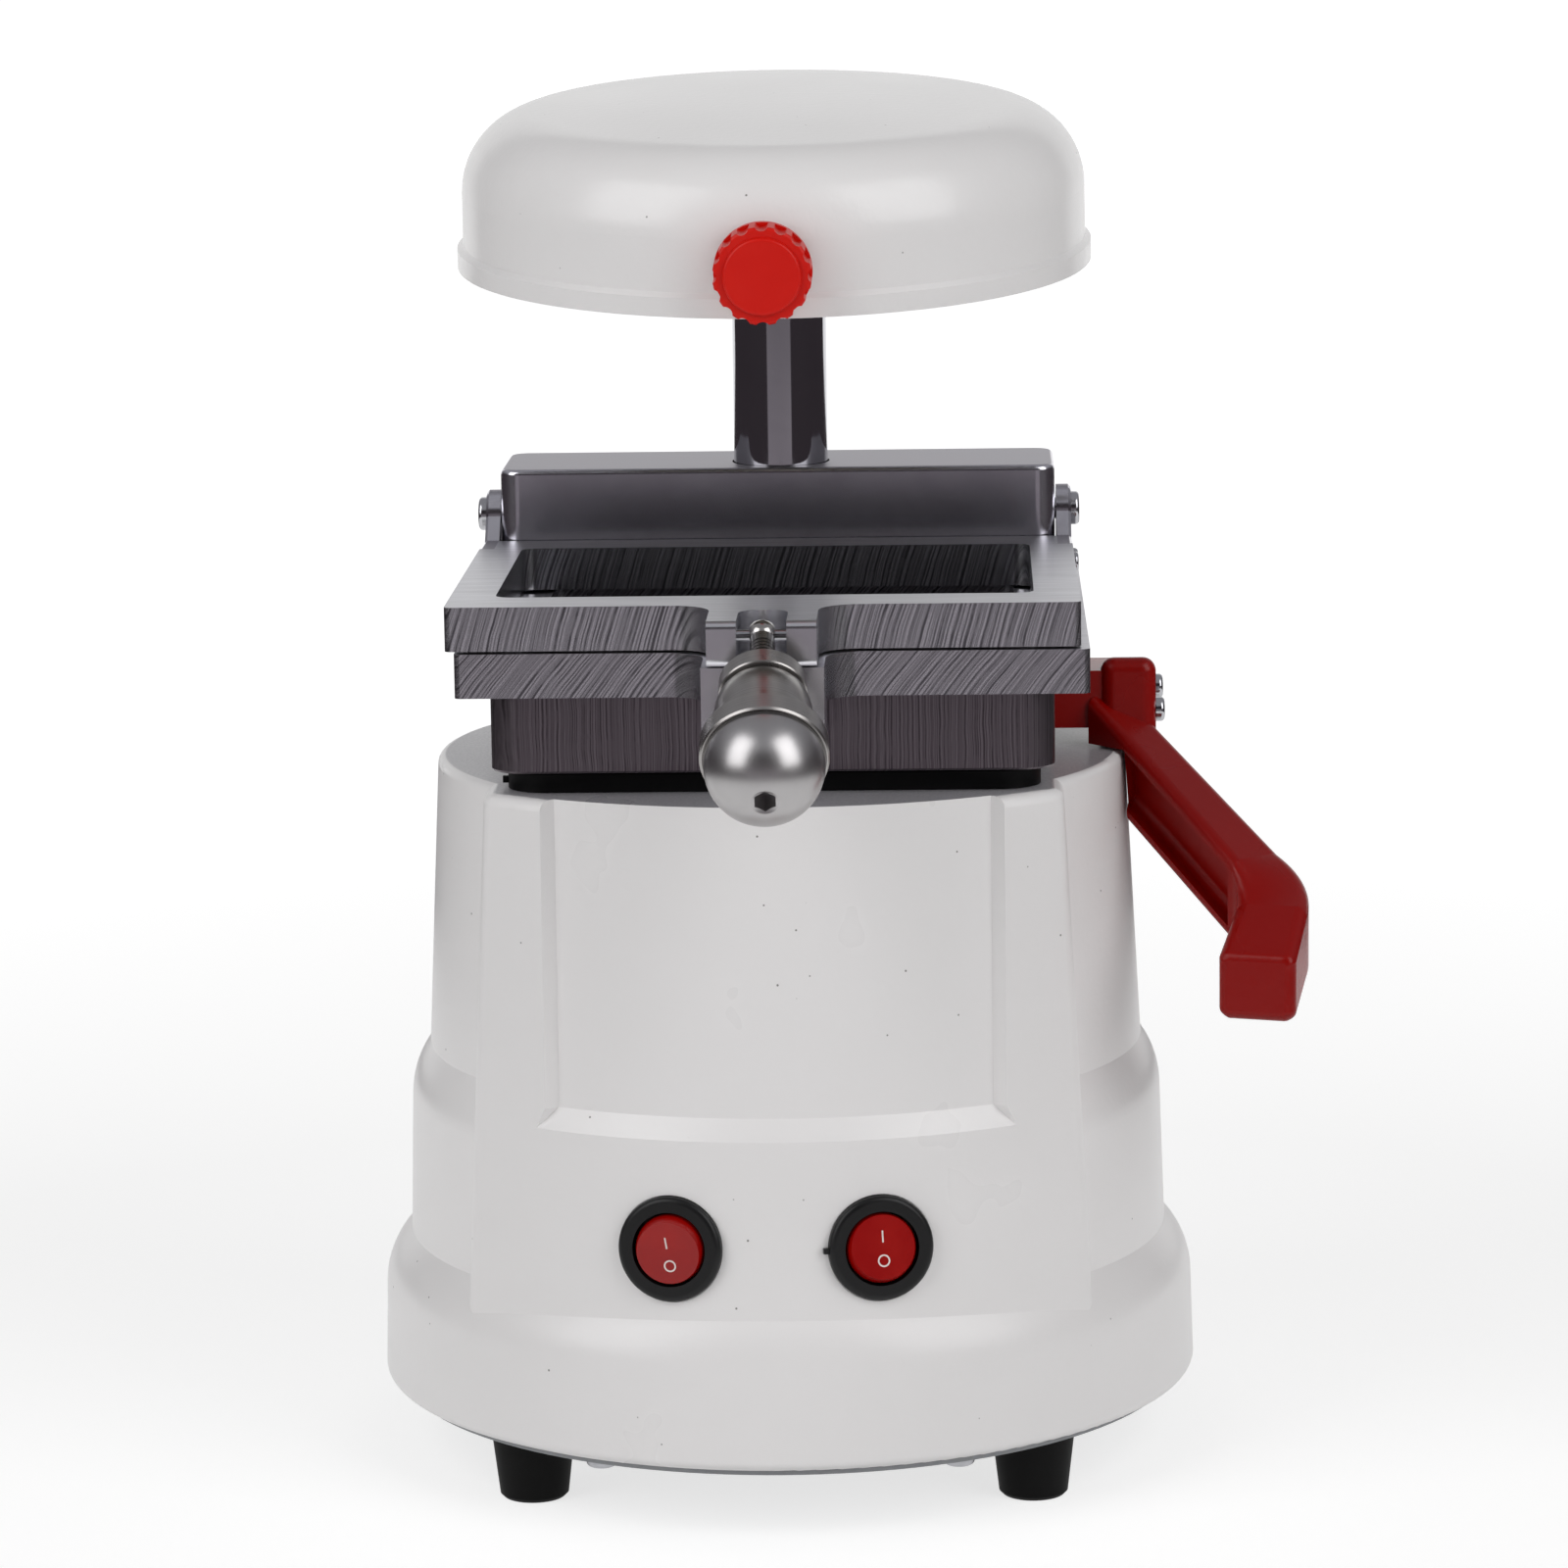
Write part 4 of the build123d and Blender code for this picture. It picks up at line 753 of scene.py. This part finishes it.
@dataclass
class SwingClamp(SubAssembly):
    """Stud, loose collar, knurled nut and ball, all turned about the stud's axis."""

    pivot_mm: Triple = (-0.9, -84.0, 196.6)
    lean: float = 0.034
    droop_deg: float = 28.0
    collar_mm: tuple[Pair, ...] = (
        (2.95, 16.9), (8.9, 16.9), (9.25, 17.2), (9.25, 21.0), (9.0, 21.3), (2.95, 21.3))
    bell_mm: tuple[Pair, ...] = (
        (2.95, 21.5), (7.6, 21.5), (8.6, 22.2), (9.5, 23.8), (10.1, 26.0), (10.35, 28.4),
        (10.3, 31.0), (10.2, 33.4), (10.5, 35.4), (11.5, 36.8), (12.9, 37.4), (13.2, 37.6))
    rim_mm: tuple[Pair, ...] = (
        (13.4, 37.8), (13.4, 42.3), (13.1, 42.8), (12.8, 42.8), (12.75, 42.5), (12.5, 42.4),
        (2.95, 42.4))
    sides: int = 96
    teeth: int = 96
    tooth_mm: float = 0.45
    band_mm: Triple = (0.7, -0.5, 0.6)
    ball_mm: Pair = (12.55, 44.7)
    ball_from_mm: float = 42.0
    socket_mm: Pair = (2.5, 6.0)
    mouth_shares: Pair = (0.9, 1.5)
    mouth_mm: Pair = (0.75, 0.1)
    smooth_deg: float = 28.0

    def axis(self) -> Matrix:
        """Returns the stud's frame, Z from its pivot out to the ball."""
        droop = math.radians(self.droop_deg)
        out = Vector((self.lean, -math.cos(droop), -math.sin(droop)))
        return local_frame(Vector(self.pivot_mm) * MM, Vector((1, 0, 0)), out)

    def satin(self) -> Finish:
        """Returns the nut's and the collar's turned skin: fine rings, a blurred shine."""
        return TurnedMetal("turned_steel_satin", "#A9A6A4", 0.28, 1.0, axis=self.axis())

    def turned(self, name: str, profile: tuple[Pair, ...], sides: int) -> Piece:
        """Raises a round piece loop by loop from its first radius to its last.

        Args:
            name: The piece's name.
            profile: Radius and height of each loop in millimetres.
            sides: Number of points round each loop.

        Returns:
            The closed piece, on its own axis.
        """
        bpy.ops.object.select_all(action="DESELECT")
        radius, height = profile[0]
        bpy.ops.mesh.primitive_circle_add(vertices=sides, radius=radius * MM,
                                          location=(0, 0, height * MM))
        made = bpy.context.object
        made.name = name
        bpy.ops.object.mode_set(mode="EDIT")
        bpy.ops.mesh.select_all(action="SELECT")
        for wide, high in profile[1:]:
            step = {"value": (0, 0, (high - height) * MM)}
            bpy.ops.mesh.extrude_region_move(TRANSFORM_OT_translate=step)
            share = wide / radius
            bpy.ops.transform.resize(value=(share, share, 1), center_override=(0, 0, high * MM))
            radius, height = wide, high
        bpy.ops.object.mode_set(mode="OBJECT")
        return made

    def close_bore(self, made: Piece) -> None:
        """Bridges a turned piece's first and last loops, which bound its bore.

        Args:
            made: The piece; not used, as the active object is the one bridged.
        """
        bpy.ops.object.mode_set(mode="EDIT")
        bpy.ops.mesh.select_all(action="DESELECT")
        bpy.ops.mesh.select_mode(type="EDGE")
        bpy.ops.mesh.select_non_manifold()
        bpy.ops.mesh.bridge_edge_loops()
        bpy.ops.mesh.select_all(action="SELECT")
        bpy.ops.mesh.normals_make_consistent(inside=False)
        bpy.ops.object.mode_set(mode="OBJECT")

    def cut_teeth(self, made: Piece) -> None:
        """Pulls every other point of the rim's band inwards, which leaves straight teeth.

        Args:
            made: The nut.
        """
        crest, mouth = self.rim_mm[0][0], self.rim_mm[1][1]
        inside, below, above = self.band_mm
        low, high = (self.rim_mm[0][1] + below) * MM, (mouth + above) * MM
        bpy.ops.object.mode_set(mode="EDIT")
        bpy.ops.mesh.select_mode(type="VERT")
        bpy.ops.mesh.select_all(action="DESELECT")
        bpy.ops.object.mode_set(mode="OBJECT")
        for point in made.data.vertices:
            turn = math.atan2(point.co.y, point.co.x) / math.pi * self.teeth
            outer = point.co.xy.length > (crest - inside) * MM
            point.select = outer and low < point.co.z < high and round(turn) % 2 == 1
        bpy.ops.object.mode_set(mode="EDIT")
        share = 1 - self.tooth_mm / crest
        bpy.ops.transform.resize(value=(share, share, 1), center_override=(0, 0, mouth * MM))
        bpy.ops.object.mode_set(mode="OBJECT")

    def capped_ball(self) -> Piece:
        """Shapes the ball cap, cut flat inside the rim, with its hexagon socket.

        Returns:
            The ball, on its own axis.
        """
        radius, centre = self.ball_mm
        bpy.ops.object.select_all(action="DESELECT")
        bpy.ops.mesh.primitive_uv_sphere_add(segments=self.sides, ring_count=self.sides // 2,
                                             radius=radius * MM, location=(0, 0, centre * MM))
        ball = bpy.context.object
        ball.name = "ball_cap"
        bpy.ops.object.mode_set(mode="EDIT")
        bpy.ops.mesh.select_all(action="SELECT")
        bpy.ops.mesh.bisect(plane_co=(0, 0, self.ball_from_mm * MM), plane_no=(0, 0, -1),
                            clear_outer=True, use_fill=True)
        bpy.ops.object.mode_set(mode="OBJECT")
        wide, deep = self.socket_mm
        top = centre + radius
        self.cut(ball, (wide, wide), (top - deep, top + 1), 6)
        radii = (wide * self.mouth_shares[0], wide * self.mouth_shares[1])
        self.cut(ball, radii, (top - self.mouth_mm[0], top + self.mouth_mm[1]), self.sides // 2)
        return ball

    def cut(self, ball: Piece, radii: Pair, heights: Pair, sides: int) -> None:
        """Cuts a prism or a cone out of the ball.

        Args:
            ball: The ball.
            radii: The cutter's lower and upper radius, in millimetres.
            heights: Where its lower and upper ends are.
            sides: Number of its sides.
        """
        low, top = heights
        bpy.ops.mesh.primitive_cone_add(vertices=sides, radius1=radii[0] * MM,
                                        radius2=radii[1] * MM, depth=(top - low) * MM,
                                        location=(0, 0, (low + top) / 2 * MM))
        cutter = bpy.context.object
        pick(ball)
        step = ball.modifiers.new("cut", "BOOLEAN")
        step.operation, step.object, step.solver = "DIFFERENCE", cutter, "EXACT"
        bpy.ops.object.modifier_apply(modifier=step.name)
        bpy.data.objects.remove(cutter)

    def build(self) -> list[Piece]:
        """Makes the collar, nut and ball in their seen proportions.

        Returns:
            The three pieces, in place of the plainer solids.
        """
        collar = self.turned("clamp_collar_turned", self.collar_mm, self.sides)
        nut = self.turned("clamp_nut_turned", self.bell_mm + self.rim_mm, 2 * self.teeth)
        self.cut_teeth(nut)
        for piece in (collar, nut):
            pick(piece)
            self.close_bore(piece)
        ball = self.capped_ball()
        axis = self.axis()
        satin = self.satin()
        smooth = SmoothMetal("satin_aluminium_ball", "#B5B3B3", 0.30, 1.0, haze_mm=6.0,
                             dark="#A9A7A8")
        rows = ((collar, "collar", "clamp_collar", satin), (nut, "knob", "clamp_knob", satin),
                (ball, "knob", "knob_ball", smooth))
        for piece, body, node, finish in rows:
            pick(piece)
            bpy.ops.object.shade_smooth_by_angle(angle=math.radians(self.smooth_deg))
            piece.data.transform(axis @ piece.matrix_world)
            piece.matrix_world = Matrix.Identity(4)
            piece.data.materials.append(finish.material())
            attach(piece, body)
            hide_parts(node)
            LOG.info("%s: %s", self.title, piece.name)
        return [collar, nut, ball]

    def dress(self, nodes: dict[str, Piece]) -> None:
        """Gives the turned pieces rings about their own axis.

        Args:
            nodes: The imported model's objects by name.
        """
        bright = TurnedMetal("turned_steel_bright", "#B9B6B3", 0.16, 1.0, axis=self.axis())
        satin = self.satin()
        self.finishes = {"swing_stud": bright, "clamp_collar": satin, "clamp_knob": satin,
                         "knob_ball": satin, "fork_cross_pin": GROUND_STEEL}
        super().dress(nodes)


@dataclass
class RockerSwitch(SubAssembly):
    """Round rocker switch with its I and O printed on the red face."""

    side: int = 1
    body: str = ""
    turn_deg: float = 0.0
    tilt_deg: float = 9.0
    seat_mm: Triple = (22.6, 63.5, 0.6)
    front_mm: Triple = (80.9, 87.9, 98.0)
    front_z_mm: Pair = (158.5, 42.0)
    face_mm: float = 3.5
    drop_mm: float = 0.4
    mark_up_mm: float = 2.3
    mark_gap_mm: float = -2.9
    ring_mm: Pair = (1.35, 0.34)
    bar_mm: Pair = (0.34, 2.6)
    bar_round: float = 0.45
    ink_mm: float = 0.06

    def seat(self) -> Matrix:
        """Returns the frame of the rocker's flat face, Z out of it."""
        top_y, low_y, arc = self.front_mm
        top_z, low_z = self.front_z_mm
        x, z, sink = self.side * self.seat_mm[0], self.seat_mm[1], self.seat_mm[2]
        share = (z - low_z) / (top_z - low_z)
        front = low_y + share * (top_y - low_y)
        spot = Vector((x, arc - front - math.sqrt(arc ** 2 - x ** 2), z)) * MM
        swing = math.asin(x / arc)
        out = Vector((math.sin(swing), -math.cos(swing), (low_y - top_y) / (top_z - low_z)))
        across = Vector((math.cos(swing), math.sin(swing), 0))
        pivot = Matrix.Translation((0, 0, -(sink + self.drop_mm) * MM))
        tilt = Matrix.Rotation(math.radians(-self.side * self.tilt_deg), 4, "X")
        face = Matrix.Translation((0, 0, self.face_mm * MM))
        turn = Matrix.Rotation(math.radians(self.turn_deg), 4, "Z")
        return local_frame(spot, across, out) @ turn @ pivot @ tilt @ face

    def ring_mark(self) -> Piece:
        """Returns the O, a flat printed ring, in the face's own frame."""
        radius, width = self.ring_mm
        bpy.ops.mesh.primitive_circle_add(vertices=64, radius=radius * MM, fill_type="NGON",
                                          location=(0, self.mark_gap_mm * MM, 0))
        made = bpy.context.object
        bpy.ops.object.mode_set(mode="EDIT")
        bpy.ops.mesh.select_all(action="SELECT")
        bpy.ops.mesh.inset(thickness=width * MM)
        bpy.ops.mesh.delete(type="FACE")
        bpy.ops.object.mode_set(mode="OBJECT")
        return made

    def bar_mark(self) -> Piece:
        """Returns the I, a flat printed bar with rounded ends, in the face's own frame."""
        width, height = self.bar_mm
        bpy.ops.mesh.primitive_plane_add(size=1.0, location=(0, self.mark_up_mm * MM, 0))
        made = bpy.context.object
        bpy.ops.object.mode_set(mode="EDIT")
        bpy.ops.mesh.select_all(action="SELECT")
        bpy.ops.transform.resize(value=(width * MM, height * MM, 1.0))
        bpy.ops.mesh.bevel(offset=width * self.bar_round * MM, segments=4, affect="VERTICES")
        bpy.ops.object.mode_set(mode="OBJECT")
        return made

    def build(self) -> list[Piece]:
        """Prints both marks on the rocker.

        Returns:
            The two pieces, riding on the rocker's body.
        """
        made = []
        for mark, label in ((self.bar_mark, "on_mark"), (self.ring_mark, "off_mark")):
            bpy.ops.object.select_all(action="DESELECT")
            piece = mark()
            bpy.ops.object.mode_set(mode="EDIT")
            bpy.ops.mesh.select_all(action="SELECT")
            step = {"value": (0, 0, self.ink_mm * MM)}
            bpy.ops.mesh.extrude_region_move(TRANSFORM_OT_translate=step)
            bpy.ops.mesh.select_all(action="SELECT")
            bpy.ops.mesh.normals_make_consistent(inside=False)
            bpy.ops.object.mode_set(mode="OBJECT")
            piece.name = f"{self.title}_{label}"
            piece.data.transform(self.seat() @ piece.matrix_world)
            piece.matrix_world = Matrix.Identity(4)
            piece.data.materials.append(WHITE_PRINT.material())
            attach(piece, self.body)
            made.append(piece)
            LOG.info("%s: %s", self.title, piece.name)
        return made


# ---- studio -----------------------------------------------------------------


@dataclass(frozen=True)
class Lamp:
    """Soft box that looks at the object."""

    name: str
    place: Triple
    wide: float
    high: float
    watts: float
    aim: Triple = (0.0, 0.0, 0.17)

    def build(self) -> None:
        """Hangs the soft box and turns it to its aim."""
        data = bpy.data.lights.new(self.name, "AREA")
        data.shape, data.energy = "RECTANGLE", self.watts
        data.size, data.size_y = self.wide, self.high
        lamp = bpy.data.objects.new(self.name, data)
        bpy.context.scene.collection.objects.link(lamp)
        lamp.location = self.place
        look = Vector(self.aim) - Vector(self.place)
        lamp.rotation_euler = look.to_track_quat("-Z", "Y").to_euler()


@dataclass(frozen=True)
class Viewpoint:
    """Where the photograph was taken from."""

    azimuth_deg: float = 1.91
    elevation_deg: float = 10.15
    roll_deg: float = 0.83
    distance: float = 1.27835
    target: Triple = (0.00045, 0.0, 0.14968)
    lens_mm: float = 129.49
    sensor_mm: float = 36.0
    clip: Pair = (0.05, 60.0)

    def build(self) -> None:
        """Places the camera and makes it the scene's."""
        turn, rise = math.radians(self.azimuth_deg), math.radians(self.elevation_deg)
        level_out = math.cos(rise)
        back = Vector((math.sin(turn) * level_out, -math.cos(turn) * level_out, math.sin(rise)))
        right = (-back).cross(Vector((0, 0, 1))).normalized()
        level = Matrix((right, back.cross(right), back)).transposed().to_4x4()
        data = bpy.data.cameras.new("viewpoint")
        data.lens, data.sensor_width = self.lens_mm, self.sensor_mm
        data.clip_start, data.clip_end = self.clip
        camera = bpy.data.objects.new("viewpoint", data)
        bpy.context.scene.collection.objects.link(camera)
        spot = Matrix.Translation(Vector(self.target) + back * self.distance)
        camera.matrix_world = spot @ level @ Matrix.Rotation(math.radians(-self.roll_deg), 4, "Z")
        bpy.context.scene.camera = camera


@dataclass(frozen=True)
class Flag:
    """Upright dark card that only the metal's reflections show, as a studio's dark end does."""

    name: str
    place: Triple
    wide: float
    high: float
    low_colour: str
    high_colour: str
    blend: Pair = (0.04, 0.34)

    def build(self) -> Piece:
        """Stands the card across the view.

        Returns:
            The card, unseen by the camera and by the lamps.
        """
        bpy.ops.object.select_all(action="DESELECT")
        bpy.ops.mesh.primitive_plane_add(size=1.0, location=self.place,
                                         rotation=(math.radians(90), 0, 0))
        card = bpy.context.object
        card.name = self.name
        card.scale = (self.wide, self.high, 1.0)
        only_in_gloss(card, self.low_colour, self.high_colour, self.blend)
        return card


def only_in_gloss(piece: Piece, low: str, high: str, blend: Pair) -> None:
    """Makes a studio surface that shows in reflections and nowhere else.

    Args:
        piece: The surface.
        low: Its lower colour, as sRGB hex.
        high: Its upper colour.
        blend: Heights in metres between which the one becomes the other.
    """
    paint = bpy.data.materials.new(piece.name + "_paint")
    paint.use_nodes = True
    tree = paint.node_tree
    tree.nodes.clear()
    place = add(tree, "NewGeometry")
    part = add(tree, "SeparateXYZ", {0: place.outputs["Position"]})
    tone = tinted(tree, ramp(tree, part.outputs[2], blend), low, high)
    glow = add(tree, "Emission", {"Color": tone, "Strength": 1.0})
    add(tree, "OutputMaterial", {"Surface": glow.outputs[0]})
    piece.data.materials.append(paint)
    piece.visible_camera = piece.visible_diffuse = False
    piece.visible_transmission = piece.visible_shadow = False


@dataclass
class Studio:
    """Pale floor, white surroundings, two soft boxes and a darker room for the metal to show."""

    lamps: tuple[Lamp, ...] = (
        Lamp("left_box", (-1.18, -0.92, 1.05), 1.1, 1.6, 13.5),
        Lamp("right_box", (1.18, -0.92, 1.05), 1.1, 1.6, 13.5),
    )
    flag: Flag = Flag("front_flag", (0.0, -0.85, 0.36), 1.0, 0.72, "#9C959B", "#2A2427")
    ambient: Pair = (0.34, 0.10)
    room_radius: float = 2.4
    room_open: float = 0.75
    room_floor: float = 0.002
    room_colours: tuple[str, str] = ("#3A3438", "#A0A0A4")
    room_blend: Pair = (0.35, 1.6)
    table_radius: float = 0.62
    floor_radius: float = 40.0
    floor_colours: tuple[str, str] = ("#F2F2F2", "#ACACAC")
    floor_white: Pair = (0.72, 1.0)
    fade: Pair = (0.30, 1.20)

    def white_for_the_eye(self, tree: Tree) -> Socket:
        """Adds the switch that is 1 for the camera, for gloss and for clear plastic.

        Args:
            tree: The node tree of the floor or the world.

        Returns:
            The switch's output.
        """
        path = add(tree, "LightPath")
        seen, gloss = path.outputs["Is Camera Ray"], path.outputs["Is Glossy Ray"]
        either = maths(tree, "MAXIMUM", seen, gloss)
        return maths(tree, "MAXIMUM", either, path.outputs["Is Transmission Ray"])

    def surroundings(self) -> None:
        """Makes the world white to look at and dimmer as a light."""
        world = bpy.data.worlds.new("surroundings")
        bpy.context.scene.world = world
        world.use_nodes = True
        tree = world.node_tree
        tree.nodes.clear()
        seen = self.white_for_the_eye(tree)
        ways = add(tree, "SeparateXYZ", {0: add(tree, "TexCoord").outputs["Generated"]})
        level = between(tree, seen, ramp(tree, ways.outputs[2], end=self.ambient), 1.0)
        shade = add(tree, "Background", {"Color": srgb("#FFFFFF"), "Strength": level})
        add(tree, "OutputWorld", {"Surface": shade.outputs[0]})

    def floor(self) -> Piece:
        """Lays the floor, white to look at away from the object's shadow.

        Returns:
            The floor.
        """
        bpy.ops.object.select_all(action="DESELECT")
        bpy.ops.mesh.primitive_circle_add(vertices=96, radius=self.floor_radius, fill_type="NGON")
        ground = bpy.context.object
        ground.name = "floor"
        paint = bpy.data.materials.new("matt_white_floor")
        paint.use_nodes = True
        tree = paint.node_tree
        tree.nodes.clear()
        seen = self.white_for_the_eye(tree)
        place = add(tree, "TexCoord")
        away = add(tree, "VectorMath", {0: place.outputs["Object"]}, operation="LENGTH")
        far = ramp(tree, away.outputs["Value"], self.fade, self.floor_white)
        level = maths(tree, "MULTIPLY", far, seen)
        matt = add(tree, "BsdfDiffuse", {"Color": tinted(tree, seen, *self.floor_colours)})
        white = add(tree, "Emission", {"Color": srgb("#FFFFFF"), "Strength": level})
        both = add(tree, "AddShader", {0: matt.outputs[0], 1: white.outputs[0]})
        add(tree, "OutputMaterial", {"Surface": both.outputs[0]})
        ground.data.materials.append(paint)
        return ground

    def room(self) -> Piece:
        """Puts a dim room round the front and sides, open to the white behind.

        Returns:
            The room, which only reflections show.
        """
        bpy.ops.object.select_all(action="DESELECT")
        bpy.ops.mesh.primitive_uv_sphere_add(segments=48, ring_count=24, radius=self.room_radius)
        shell = bpy.context.object
        shell.name = "dim_room"
        bpy.ops.object.mode_set(mode="EDIT")
        bpy.ops.mesh.select_all(action="SELECT")
        back = (0, self.room_radius * self.room_open, 0)
        bpy.ops.mesh.bisect(plane_co=back, plane_no=(0, 1, 0), clear_outer=True)
        bpy.ops.mesh.select_all(action="DESELECT")
        bpy.ops.object.mode_set(mode="OBJECT")
        for face in shell.data.polygons:
            face.select = face.center.z < 0
        bpy.ops.object.mode_set(mode="EDIT")
        bpy.ops.transform.resize(value=(1, 1, 0), center_override=(0, 0, self.room_floor))
        bpy.ops.mesh.select_all(action="DESELECT")
        bpy.ops.object.mode_set(mode="OBJECT")
        for face in shell.data.polygons:
            low = face.center.z < 5 * self.room_floor
            face.select = low and face.center.xy.length < self.table_radius
        bpy.ops.object.mode_set(mode="EDIT")
        bpy.ops.mesh.delete(type="FACE")
        bpy.ops.object.mode_set(mode="OBJECT")
        only_in_gloss(shell, *self.room_colours, self.room_blend)
        return shell

    def build(self) -> None:
        """Sets up the studio."""
        self.surroundings()
        self.floor()
        self.room()
        self.flag.build()
        for lamp in self.lamps:
            lamp.build()
        bpy.context.scene.view_settings.view_transform = "Standard"


def main() -> None:
    """Loads the frame, builds and dresses each sub-assembly, and sets up the studio."""
    logging.basicConfig(level=logging.INFO, format="%(name)s: %(message)s")
    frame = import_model()
    heating = {"heating_switch_body": BLACK_PLASTIC, "heating_rocker": RED_LENS}
    motor = {"motor_switch_body": BLACK_PLASTIC, "motor_rocker": RED_LENS}
    groups = [
        Housing(), SuctionMotor(), Column(), SheetFrame(), LiftHandle(), HeaterHead(),
        SwingClamp("swing clamp", {}),
        RockerSwitch("heating_switch", heating, side=-1, body="heating_switch_rocker",
                     turn_deg=8.0),
        RockerSwitch("motor_switch", motor, side=1, body="motor_switch_rocker"),
    ]
    for group in groups:
        group.build()
        group.dress(frame["nodes"])
    Viewpoint().build()
    Studio().build()


if __name__ == "__main__":
    main()
